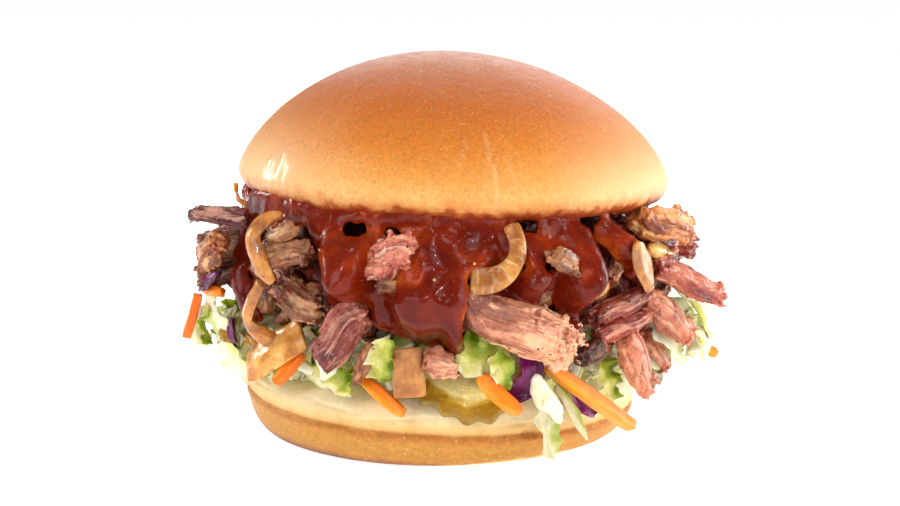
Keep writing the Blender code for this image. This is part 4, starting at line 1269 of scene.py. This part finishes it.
grilled = Finish("grilled_onion", 0.22, 0.28, coat=0.35, coat_roughness=0.06, soak=0.6, reach=(5.0, 2.2, 0.6))
lay = grilled.note("lay", "Vector")
split = grilled.tree.nodes.new("ShaderNodeSeparateXYZ")
grilled.feed(split, 0, lay)
shade = grilled.add(grilled.noise(0.20, 4, 0.6), grilled.fit(grilled.note("own"), to=(-0.26, 0.26)))
colour = grilled.ramp(
    shade,
    (0.18, (0.20, 0.060, 0.012)), (0.38, (0.38, 0.140, 0.030)), (0.55, (0.60, 0.260, 0.055)),
    (0.72, (0.80, 0.430, 0.110)), (0.88, (0.88, 0.600, 0.260)),
)
vein = grilled.noise_on(grilled.stretched(lay, (3, 1, 0.5)), 2.0, 1.0, 0.5, 0.5)
colour = grilled.mix(1.0, colour, grilled.ramp(vein, (0.36, 0.93), (0.62, 1.05)), "MULTIPLY")
to_edge = grilled.sums("ABSOLUTE", split.outputs[0])
rim = grilled.add(to_edge, grilled.fit(grilled.noise(0.35, 3), (0.3, 0.7), (-0.5, 0.22)))
colour = grilled.mix(grilled.ramp(rim, (0.84, 0.0), (1.12, 0.8)), colour, (0.36, 0.100, 0.016))
singe = grilled.ramp(grilled.noise(0.30, 4, 0.7), (0.60, 0.0), (0.70, 0.5))
colour = grilled.mix(singe, colour, (0.34, 0.105, 0.020))
fleck = grilled.ramp(grilled.noise(1.0, 3, 0.6), (0.66, 0.0), (0.72, 0.8))
colour = grilled.mix(fleck, colour, (0.16, 0.040, 0.010))
ladder = grilled.noise_on(grilled.stretched(lay, (0.35, 0.1, 9)), 2.0, 1.0)
rungs = grilled.times(grilled.note("rungs"), grilled.ramp(ladder, (0.55, 0.0), (0.68, 0.35)))
grilled.colour(grilled.mix(rungs, colour, (0.90, 0.66, 0.34)))
grilled.bump(vein, 0.06)
grilled.bump(grilled.noise(0.45, 3, 0.5), 0.22)

# The slice of ring across the front: (x, y, z, half width) along it, from its tip under the crown.
RING = (
    (16.9, -54.6, 60.6, 1.2), (18.2, -56.4, 58.0, 1.7), (18.7, -57.8, 55.0, 1.9), (17.6, -58.8, 51.8, 2.2),
    (15.2, -59.4, 49.4, 2.7), (12.0, -59.6, 48.1, 3.2), (7.6, -59.0, 48.2, 3.3),
)
# The long sliver at the left, from under the crown down over the meat.
LONG = (
    (-37.6, -41.0, 61.0, 1.5), (-41.2, -41.0, 60.3, 2.0), (-44.1, -42.2, 58.5, 2.4), (-45.0, -43.4, 55.3, 2.4),
    (-43.6, -45.3, 51.9, 2.3), (-41.7, -47.2, 48.6, 2.2), (-39.3, -47.5, 45.3, 1.6),
)
# The loop below it, round and back under the slab of onion.
LOOP = (
    (-43.0, -42.4, 44.5, 1.7), (-45.8, -40.8, 39.5, 2.1), (-47.4, -38.8, 34.8, 2.3), (-45.2, -38.0, 31.4, 2.3),
    (-40.6, -37.6, 29.6, 2.1), (-36.4, -37.8, 28.6, 1.6),
)
# Two flat cut pieces, through the middle of their CAD boxes: (ahead, length, bend, half sizes).
SLAB = ((-13, 8, -9.5), 20.0, (4, 4, 0), (4.6, 0.8))
SQUARE = ((0.6, 0.3, -6), 12.0, (0, 1.4, 0), (3.7, 0.7))

for place, line, tone, form in (
    ("left_long", LONG, 0.34, dict(thin=0.95, cup=-0.16, ribs=0.03, edges=0.16, size=1.1)),
    ("left_loop", LOOP, 0.44, dict(thin=0.75, cup=-0.18, ribs=0.03, edges=0.18, blunt=True)),
    ("left_slab", SLAB, 0.74, dict(
        thin=0.65, ruffle=0.35, waves=1.2, cup=-0.10, ribs=0.03, edges=0.2, blunt=True,
    )),
    ("centre_ring", RING, 0.34, dict(thin=0.7, cup=-0.10, edges=0.06, blunt=True)),
    ("right_drop", UPRIGHT, 0.36, dict(thin=0.8, cup=-0.12, edges=0.12, size=1.7)),
    ("front_square", SQUARE, 0.35, dict(
        thin=0.6, ruffle=0.25, waves=1.3, cup=-0.08, ribs=0.02, edges=0.2, blunt=True,
    )),
    ("right_back", LEFTWARDS, 0.75, dict(thin=1.1, cup=-0.2, ribs=0.03, edges=0.2)),
    ("right_bent", UPRIGHT, 0.45, dict(thin=0.8, cup=-0.2, ribs=0.03, edges=0.15, size=1.3, blunt=True)),
):
    node = "onion_" + place
    if line in (RING, LONG, LOOP):
        spine = routed_spine(line, 15)
    elif line in (SLAB, SQUARE):
        spine = loose_spine(sum(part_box(node), Vector()) / 2, *line, count=11)
    else:
        spine = spine_of(node, line, 11)
    slabs = [(broad, spine, len(place) + 11, form)]
    sliver = slab_piece(node + "_sliver", grilled, "onion", slabs, node, own=tone)
    if line is RING:
        note(sliver.data, "rungs", np.ones(len(sliver.data.vertices)))

# A thin crisp curl of the same onion, caught under the crown's left edge.
curl = loose_spine(np.array((-50.6, -19, 62.4)) * MM, (-0.55, 0.1, 1.0), 6.5, (5, 0, 2), (0.9, 0.35), count=11)
form = dict(thin=0.35, ruffle=0.3, waves=1.5, cup=0.3, twist=1.4)
slab_piece("onion_left_curl_sliver", grilled, "onion", [(leafy, curl, 5, form)], own=0.35)

# ---------------------------------------------------------------- the sauce
# Thick smoky barbecue sauce, pressed out under the crown and run down over the meat in sheets and
# blobs. A skin draped over the meat, thickened along its runs, then closed and softened as one body.

# Where it runs: (degrees round from the front, mm up, half width, depth) along each run.
RUNS = [
    [
        (-54, 62, 4.4, 1.8), (-64, 60.5, 4.8, 2.8), (-69, 55, 4.8, 4.8), (-70, 49, 4.6, 6.0),
        (-68, 42, 4.6, 6.4), (-65, 36, 4.8, 6.2),
    ],
    [(-38, 60.5, 3.4, 1.6), (-35.5, 56, 3.6, 2.0), (-33, 51, 3.2, 2.0)],
    [(-76, 60, 2.4, 1.2), (-66, 61.5, 3.6, 1.6), (-54, 62, 4.0, 1.6), (-44, 62, 3.4, 1.6)],
    [(-48, 60, 3.0, 1.4), (-40, 61.5, 3.0, 1.6), (-33, 61, 3.4, 1.6), (-27, 60.5, 3.4, 1.8)],
    [(-33, 60, 3.6, 1.5), (-30, 56.5, 3.2, 1.5), (-26, 55, 3.4, 1.7)],
    [(-24, 61, 3.4, 1.8), (-24, 56, 5.0, 2.0), (-25, 51, 5.6, 2.0), (-26, 45, 6.4, 2.4), (-27, 40, 4.0, 2.2)],
    [
        (-20, 50, 4.0, 1.8), (-19, 45, 5.6, 2.2), (-12, 42, 6.0, 2.6), (-4, 41, 7.2, 2.8), (-1, 36, 4.8, 2.8),
        (2.5, 31.5, 3.0, 3.6),
    ],
    [(-16, 39, 5.0, 2.2), (-6, 35.5, 4.6, 2.6)],
    [(-17, 57, 5.0, 1.0), (-14, 52, 5.4, 1.0), (-8, 54, 5.4, 1.0), (-3, 55, 5, 1.4)],
    [(22, 54, 4.4, 1.6), (28, 52.5, 4.4, 1.6), (33, 52, 4.0, 1.8)],
    [
        (-20, 61.5, 2.8, 1.6), (-10, 62, 2.4, 1.6), (-3, 62, 2.6, 1.6), (6, 62, 3.2, 1.6), (14, 62, 2.8, 1.6),
        (24, 62, 2.0, 1.4),
    ],
    [(-3, 60, 3.6, 2.0), (6, 58.5, 5.4, 2.2), (13, 57, 5.0, 2.0)],
    [(-2, 57, 4.4, 2.2), (-1, 51, 5.2, 2.6), (0, 45, 5.6, 2.8)],
    [(6, 53, 4.0, 1.4), (12, 54, 4.0, 1.4)],
    [(12.5, 47.5, 2.6, 1.2), (16.5, 44.5, 4.0, 1.8), (20, 42.5, 3.0, 1.6)],
    [(18, 61, 3.2, 1.6), (21, 56, 3.8, 1.8), (23, 51, 4.2, 2.2), (21, 46, 5.0, 3.0), (15, 44.5, 3.6, 2.4)],
    [(23, 61, 3.2, 1.6), (29, 59.5, 4.6, 1.8), (35, 57, 4.8, 2.2), (38, 52, 4.2, 2.2), (35, 46, 3.8, 2.6)],
    [(26, 53, 2.8, 1.6), (29, 47, 3.4, 1.8), (31, 42, 3.8, 2.2), (33, 37, 3.6, 2.4), (35, 32, 2.4, 2.6)],
    [(47, 61.5, 2.2, 1.4), (46, 57, 4.0, 1.8), (50, 52, 4.0, 2.0), (56, 47, 3.2, 2.2), (60, 42, 2.4, 2.0)],
    [(34, 62, 2.0, 1.3), (46, 62.3, 2.2, 1.4), (56, 62, 2.0, 1.4)],
    [(60, 60.5, 2.6, 1.2), (68, 59.5, 3.4, 1.4), (76, 58.5, 2.0, 1.2)],
]
# Where it parts and shows what lies below: (degrees round, mm up, radius) along each hollow.
HOLLOWS = [
    [(-26, 59.8, 0.9), (-22.5, 59.4, 1.2)], [(18.5, 60.2, 0.9), (22.5, 60.0, 1.3)],
    [(-14.5, 58.4, 1.2), (-12.5, 57.8, 0.9)], [(-13.5, 46.3, 1.3), (-12.5, 45.8, 1.0)],
    [(38, 60.0, 0.9), (43, 60.1, 1.5)], [(24, 51, 1.2), (26, 49.5, 1.4)],
]
dice = random.Random(5)
for around in [*range(86, 180, 15), *range(-174, -76, 15)]:
    around += dice.uniform(-3, 3)
    fall = dice.choice((50, 46, 42, 38, 34))
    wide = dice.uniform(3.0, 5.5)
    drift = dice.uniform(-6, 6)
    RUNS.append([(around - 7, 61.5, 2.6, 1.4), (around + 7, 61.5, 2.6, 1.4)])
    RUNS.append([
        (around, 61, wide * 1.1, 1.8), (around + drift * 0.4, 56, wide, 2.0),
        (around + drift * 0.8, (56 + fall) / 2, wide * 0.8, 2.2), (around + drift, fall, wide * 0.72, 3.0),
    ])

# The sheet is worked out flat, in cells of STEP mm, as if it were wound round at this radius.
STEP = 0.42
WOUND_AT = 60
TOP, LOW = 65.4, 27.0
# Rays look for the meat from this far out, over this length, and no higher than this, in mm.
LOOK_FROM, LOOK_OVER, HIGHEST_LOOK = 100, 60, 56
columns = int(round(2 * math.pi * WOUND_AT / STEP))
levels = int(round((TOP - LOW) / STEP))
around_of = np.linspace(-180, 180, columns, endpoint=False)
up_of = np.linspace(LOW, TOP, levels)
UNDER_IT = ("_core", "_bits", "front_large_torn", "right_strand_upper_torn", "left_shreds_torn")
meat = [one.data for one in bpy.data.objects if one.name.startswith("brisket_") and one.name.endswith(UNDER_IT)]
tree = tree_of([*meat, frame["nodes"]["barbecue_sauce"].data])
out_to = np.full((levels, columns), 45.0)
for j, around in enumerate(around_of):
    away = away_at(around)
    for i, up in enumerate(up_of):
        hit = tree.ray_cast(on_axis(min(up, HIGHEST_LOOK)) + away * (LOOK_FROM * MM), -away, LOOK_OVER * MM)
        if hit[0] is not None:
            out_to[i, j] = LOOK_FROM - hit[3] / MM


def softened(field, reach):
    """Blurs a field over the sheet by a reach in mm. It wraps round sideways."""
    steps = max(int(reach * 2.5 / STEP), 1)
    weights = np.exp(-0.5 * ((np.arange(-steps, steps + 1) * STEP / reach) ** 2))
    weights /= weights.sum()
    field = sum(weight * np.roll(field, k - steps, axis=1) for k, weight in enumerate(weights))
    tall = np.pad(field, ((steps, steps), (0, 0)), mode="edge")
    return sum(weight * tall[k:k + field.shape[0]] for k, weight in enumerate(weights))


draped = softened(np.clip(out_to, 52, 66.0), 1.6)
under_crown = np.clip((up_of - 55.5) / 4.5, 0, 1)[:, None]
draped = draped * (1 - under_crown) + 53.0 * under_crown
flat, tall = np.meshgrid(around_of * math.pi / 180 * WOUND_AT, up_of)
place = np.stack([flat.ravel(), tall.ravel(), np.zeros(flat.size)], axis=1) * MM
flat = flat + (0.9 * grit(place, 0.16, 3) + 0.35 * grit(place, 0.5, 4)).reshape(flat.shape)
tall = tall + (0.9 * grit(place, 0.16, 5) + 0.35 * grit(place, 0.5, 6)).reshape(flat.shape)


def run_of(points):
    """How far inside a run each cell lies: 1 along its middle, 0 at its edge, and its depth there."""
    best, depth = np.full(flat.shape, -9.0), np.zeros(flat.shape)
    for start, end in zip(points[:-1], points[1:]):
        here, there = (np.array((one[0] * math.pi / 180 * WOUND_AT, one[1])) for one in (start, end))
        span = there - here
        along = ((flat - here[0]) * span[0] + (tall - here[1]) * span[1]) / max(span @ span, 1e-6)
        along = np.clip(along, 0, 1)
        half = start[2] + (end[2] - start[2]) * along
        inside = 1 - np.hypot(flat - here[0] - span[0] * along, tall - here[1] - span[1] * along) / half
        depth = np.where(inside > best, start[-1] + (end[-1] - start[-1]) * along, depth)
        best = np.maximum(best, inside)
    return best, depth


joined = np.zeros(flat.shape)
body = np.zeros(flat.shape)
for points in RUNS:
    inside, depth = run_of(points)
    body = np.maximum(body, depth * np.sqrt(np.clip(1 - (1 - np.clip(inside, 0, 1)) ** 2, 0, 1)))
    joined += np.exp(5 * np.clip(inside, -5, 1))
cover = np.log(joined) / 5
for points in HOLLOWS:
    inside, _ = run_of(points)
    cover = np.minimum(cover, -inside * 1.5)
    body = np.where(inside > -0.5, body * np.clip(-inside * 2, 0, 1), body)
body = softened(body, 0.55)
waves = (1.0 * grit(place, 0.10, 8) + 0.7 * grit(place, 0.26, 9) + 0.16 * grit(place, 0.6, 10)).reshape(flat.shape)
skin_at = draped + body + waves * np.clip(cover * 2, 0, 1) - 1.0

# The sheet as a mesh, a little lower than its levels, cut away where no sauce covers it.
SHEET_DROP = 0.2
sheet = bmesh.new()
bmesh.ops.create_grid(sheet, x_segments=columns, y_segments=levels - 1, size=0.5)
for corner in sheet.verts:
    i = int(round((corner.co.y + 0.5) * (levels - 1)))
    j = int(round((corner.co.x + 0.5) * columns)) % columns
    turn = math.radians(around_of[j])
    out = skin_at[i, j]
    corner.co = Vector((AXIS_X + out * math.sin(turn), -out * math.cos(turn), up_of[i] - SHEET_DROP)) * MM
    corner.tag = bool(cover[i, j] > -0.02)
bmesh.ops.delete(sheet, geom=[corner for corner in sheet.verts if not corner.tag], context="VERTS")
bmesh.ops.recalc_face_normals(sheet, faces=sheet.faces)
if sum(face.normal @ face.calc_center_median() for face in sheet.faces if abs(face.normal.z) < 0.7) < 0:
    bmesh.ops.reverse_faces(sheet, faces=sheet.faces)
bmesh.ops.solidify(sheet, geom=sheet.faces, thickness=1.7 * MM)
poured = remeshed(sheet, 0.50, 3)
places = corners_of(poured)
level = np.round((places[:, 2] / MM + SHEET_DROP - LOW) / (TOP - LOW) * (levels - 1)).astype(int)
turn = np.degrees(np.arctan2(places[:, 0] - AXIS_X * MM, -places[:, 1]))
column = np.round((turn + 180) / 360 * columns).astype(int) % columns
note(poured, "body", np.clip(body[np.clip(level, 0, levels - 1), column] / 2.6, 0, 1))

smoky = Finish("smoky_sauce", 0.20, 0.12, coat=0.20, coat_roughness=0.03, soak=0.12, reach=(1.2, 0.2, 0.1))
shade = smoky.add(smoky.note("body"), smoky.fit(smoky.noise(0.16, 4, 0.6), (0.3, 0.7), (-0.3, 0.3)))
colour = smoky.ramp(
    shade, (0.02, (0.46, 0.085, 0.010)), (0.30, (0.30, 0.028, 0.002)), (0.62, (0.18, 0.011, 0.001)),
    (1.0, (0.105, 0.005, 0.001)),
)
specks = smoky.ramp(smoky.dots(1.25), (0.10, 1.0), (0.20, 0.0))
here = smoky.ramp(smoky.noise(0.45, 2), (0.52, 0.0), (0.60, 1.0))
smoky.colour(smoky.mix(smoky.times(smoky.times(specks, here), 0.55), colour, (0.55, 0.12, 0.02)))
smoky.bump(smoky.noise(0.35, 2, 0.5), 0.35)
smoky.bump(smoky.noise(1.1, 3, 0.5), 0.09)
smoky.bump(specks, 0.07)
piece_of(poured, "barbecue_sauce_poured", smoky, "sauce", "barbecue_sauce")

# ---------------------------------------------------------------- the crown
# The domed upper half: thin golden crust, darkest over the shoulders and pale at the lip where
# the dough was shaded. Turned, leaned and seated at a slight tilt; the crust has fine wrinkles,
# and its lower edge has soaked up sauce.

CROWN_RADIUS = 56.1
CROWN_DOME = 31.7
CROWN_LIP = 5.2
CROWN_LEAN = -0.065
# How far the lip's rounding reaches in from the edge.
CROWN_TURN_IN = 7
crown_seat = Matrix.Translation(Vector((3.7, 0, 66.1)) * MM) @ Matrix.Rotation(math.radians(1.8), 4, "Y")

crown_profile = []
for share in np.linspace(0, 1, 78):
    rise = math.cos(math.pi / 2 * share)
    crown_profile.append((CROWN_RADIUS * math.sqrt(1 - rise**1.5), CROWN_DOME * rise))
for share in np.linspace(0, 1, 16)[1:]:
    turn = math.pi / 2 * share
    crown_profile.append((CROWN_RADIUS - CROWN_TURN_IN * (1 - math.cos(turn)), -CROWN_LIP * math.sin(turn)))
crown_profile += [(out, -CROWN_LIP) for out in np.linspace(CROWN_RADIUS - CROWN_TURN_IN, 0, 18)[1:]]
crown = turned(crown_profile, 360)

# Wrinkles: (degrees round, lowest and highest mm up, depth, width, degrees of slant to the mm).
WRINKLES = [
    (10.5, -2, 15, 0.30, 0.9, -0.10), (7.5, 3, 10, 0.16, 0.7, 0.2), (1.2, 8, 13, 0.30, 0.6, 0.35),
    (-0.5, 1.5, 5, 0.15, 0.6, 0.25), (17.5, -3.5, 1.5, 0.28, 0.8, 0.0), (15, 4, 11, 0.12, 0.7, -0.2),
    (-53, -1, 7, 0.34, 1.0, 0.0), (-56.5, 0, 6, 0.30, 0.8, 0.1), (-50, 1, 6, 0.18, 0.8, -0.1),
    (-68, -2, 4, 0.20, 0.9, 0.1), (-47, 15, 24, 0.22, 0.8, 0.5), (-40, 13, 20, 0.14, 0.7, 0.5),
    (32, 16, 19, 0.20, 0.7, 0.8), (36, 18, 20, 0.14, 0.6, 0.8), (58, 2, 9, 0.14, 0.8, -0.1),
    (98, -2, 12, 0.26, 0.9, 0.1), (121, 3, 14, 0.16, 0.8, -0.2), (150, -3, 9, 0.26, 0.8, 0.15),
    (178, 2, 13, 0.18, 0.7, 0.1), (-160, -2, 11, 0.28, 0.9, -0.1), (-128, 4, 16, 0.16, 0.8, 0.3),
    (-101, -2, 8, 0.24, 0.9, 0.05),
]
# Each wrinkle fades out over this far past its ends, and the lip's frill is read on a ring of this
# radius, in mm.
FADE = 1.5
FRILL_RING = 56
GREASY = Vector((-42.5, -35.0, 4.0)) * MM
baked, glossed, flank, wrinkled = (
    crown.verts.layers.float.new(name) for name in ("baked", "glossed", "flank", "wrinkled")
)
for corner in crown.verts:
    spot = corner.co.copy()
    out = math.hypot(spot.x, spot.y)
    height = spot.z / MM
    around = math.degrees(math.atan2(spot.x, -spot.y))
    away = Vector((spot.x, spot.y, 0)) / max(out, 1e-6)
    lift = max(spot.z, 0)
    inner = height < -CROWN_LIP + 0.01 and out / MM < CROWN_RADIUS - (CROWN_TURN_IN + 0.01)
    corner[baked] = -9 - (CROWN_RADIUS - CROWN_TURN_IN - out / MM) * 0.1 if inner else height
    swell = 1 + 0.012 * noise.noise(spot * 22)
    dome = Vector((away.x * 0.6, away.y * 0.6, 0.8)) if height > 4 else away
    mark, crack = 0.0, 0.0
    for place, low, high, depth, width, slant in WRINKLES:
        if low - FADE < height < high + FADE:
            offset = wrapped(around - place - slant * (height - low)) * out * math.pi / 180 / MM
            offset += 0.7 * ripple(spot, 0.3, place)
            ends = part((height - low + FADE) / 3) * part((high + FADE - height) / 3)
            fold = bell(offset / (0.30 * width)) - 0.55 * bell((offset - 0.75 * width) / (0.5 * width))
            mark += depth * ends * fold
            crack = max(crack, ends * bell(offset / (0.45 * width)) * min(depth * 3.3, 1))
    corner[wrinkled] = crack
    # Towards the sides and below 25 mm the crust is mixed towards pale gold, a little more on the right: partly a
    # paler crust and partly painted sheen from the side lamps.
    sideways = part((abs(spot.x) / MM - 20) / 32)
    corner[flank] = sideways * part((25 - height) / 20) * (0.50 if spot.x > 0 else 0.45)
    in_grease = math.exp(-(((spot - GREASY).length / MM / 8) ** 4))
    corner[glossed] = in_grease * (0.75 + 0.5 * ripple(spot, 0.5, 12))
    ring = away * (FRILL_RING * MM)
    frill = 0.8 * ripple(ring, 0.11, 4) + 0.5 * ripple(ring, 0.3, 7) + 0.28 * ripple(ring, 0.8, 8)
    frill = frill * part((3.0 - height) / 6)
    broad_swell = 0.10 * ripple(spot, 0.09, 2) + 0.04 * ripple(spot, 0.3, 3) + 0.02 * ripple(spot, 0.8, 6)
    corner.co.x = spot.x * swell + CROWN_LEAN * lift**2 / (CROWN_DOME * MM)
    corner.co.y = spot.y * swell
    if inner:
        corner.co.z += (0.5 * ripple(spot, 0.12, 3) + 0.25 * ripple(spot, 0.5, 9)) * MM
    else:
        corner.co += dome * (1.6 * mark + broad_swell) * MM + Vector((0, 0, 1)) * frill * MM
bmesh.ops.transform(crown, matrix=crown_seat, verts=crown.verts)

golden = Finish("golden_crust", 0.36, 0.26, coat_roughness=0.20, soak=0.12, reach=(4, 1.6, 0.7))
level = golden.note("baked")
uneven = golden.add(level, golden.fit(golden.noise(0.045, 3, 0.55), to=(-4.5, 4.5)))
crust = golden.ramp(
    golden.fit(uneven, (-10.0, 32.0)),
    (0.00, (0.78, 0.50, 0.22)), (0.08, (0.84, 0.54, 0.22)), (0.20, (0.82, 0.45, 0.145)),
    (0.34, (0.78, 0.32, 0.060)), (0.50, (0.68, 0.210, 0.022)), (0.68, (0.58, 0.140, 0.008)),
    (0.86, (0.52, 0.120, 0.008)), (1.00, (0.50, 0.120, 0.010)),
)
grained = golden.mix(1.0, crust, golden.ramp(golden.noise(1.2, 4, 0.75), (0.32, 0.76), (0.68, 1.20)), "MULTIPLY")
flakes = golden.ramp(golden.dots(1.15), (0.14, 1.0), (0.26, 0.0))
pale_flakes = golden.times(flakes, golden.ramp(golden.noise(0.5, 2), (0.50, 0.0), (0.60, 1.0)))
edge = golden.add(level, golden.fit(golden.noise(0.35, 3, 0.6), to=(-2.6, 2.6)))
scorched = golden.ramp(golden.noise(0.16, 2, 0.5), (0.66, 0.0), (0.74, 1.0))
tanned = golden.ramp(golden.fit(edge, (-9.0, 3.0)), (0.48, 0.95), (0.86, 0.0))
soaked = golden.ramp(golden.fit(edge, (-9.0, 0.0)), (0.54, 1.0), (0.66, 0.7), (0.78, 0.0))
colour = grained
for share, tint in (
    (golden.times(pale_flakes, 0.60), (0.95, 0.60, 0.27)),
    (golden.times(scorched, 0.30), (0.62, 0.22, 0.05)),
    (golden.times(golden.note("wrinkled"), 0.25), (0.98, 0.70, 0.38)),
    # Paler crust and painted sheen at the lower sides.
    (golden.note("flank"), (0.95, 0.69, 0.38)),
    (tanned, (0.58, 0.170, 0.026)),
    (soaked, (0.32, 0.036, 0.006)),
):
    colour = golden.mix(share, colour, tint)
golden.colour(colour)
golden.feed(golden.shader, "Roughness", golden.ramp(golden.noise(0.30, 3, 0.6), (0.30, 0.28), (0.70, 0.44)))
golden.feed(golden.shader, "Coat Weight", golden.ramp(golden.note("glossed"), (0.1, 0.0), (0.8, 0.8)))
golden.bump(golden.noise(1.7, 4, 0.7), 0.26)
golden.bump(golden.noise(0.35, 3, 0.6), 0.16)
golden.bump(flakes, 0.05)
piece_of(crown, "bun_crown_baked", golden, "bun_crust", "bun_crown")

# ---------------------------------------------------------------- pepper and crumbs
# Cracked black pepper from the rub, grains of chilli in the sauce, and crumbs off the bun. Tiny
# split grains, scattered where the outside of the filling is found by looking in from all round.

left_out = (*frame["nodes"], "table", "bun_crown_baked")
outside = tree_of([one.data for one in bpy.data.objects if one.type == "MESH" and one.name not in left_out])
dice = random.Random(63)
for name, slot, many, size, (low, high), colour, roughness in (
    ("cracked_pepper", "meat_brown", 300, (0.16, 0.34), (22, 61), (0.020, 0.012, 0.008), 0.45),
    ("chilli_grains", "sauce", 320, (0.12, 0.26), (36, 62), (0.50, 0.070, 0.008), 0.35),
    ("bun_crumbs", "bun_crust", 40, (0.2, 0.45), (14, 34), (0.80, 0.460, 0.150), 0.80),
):
    finish = Finish(name, roughness, 0.4)
    finish.colour(finish.ramp(finish.noise(0.8, 2), (0.3, tuple(0.6 * one for one in colour)), (0.7, colour)))
    grains = bmesh.new()
    for _ in range(many):
        turn, up = dice.uniform(-math.pi, math.pi), dice.uniform(low, high)
        away = Vector((math.sin(turn), -math.cos(turn), dice.uniform(-0.1, 0.5))).normalized()
        spot, normal, _, _ = outside.ray_cast(on_axis(up) + away * 0.12, -away)
        if spot is None or normal.dot(away) < 0.2:
            continue
        grain = dice.uniform(*size) * MM
        place = Matrix.Translation(spot + normal * grain * 0.3) @ normal.to_track_quat("Z", "Y").to_matrix().to_4x4()
        spin = Matrix.Rotation(dice.uniform(0, 3), 4, "Z")
        squash = Matrix.Diagonal((dice.uniform(0.6, 1.3), 1, dice.uniform(0.4, 0.7), 1))
        bmesh.ops.create_icosphere(grains, subdivisions=1, radius=grain, matrix=place @ spin @ squash)
    for corner in grains.verts:
        corner.co += Vector([dice.uniform(-0.05, 0.05) * MM for _ in range(3)])
    piece_of(grains, name, finish, slot)
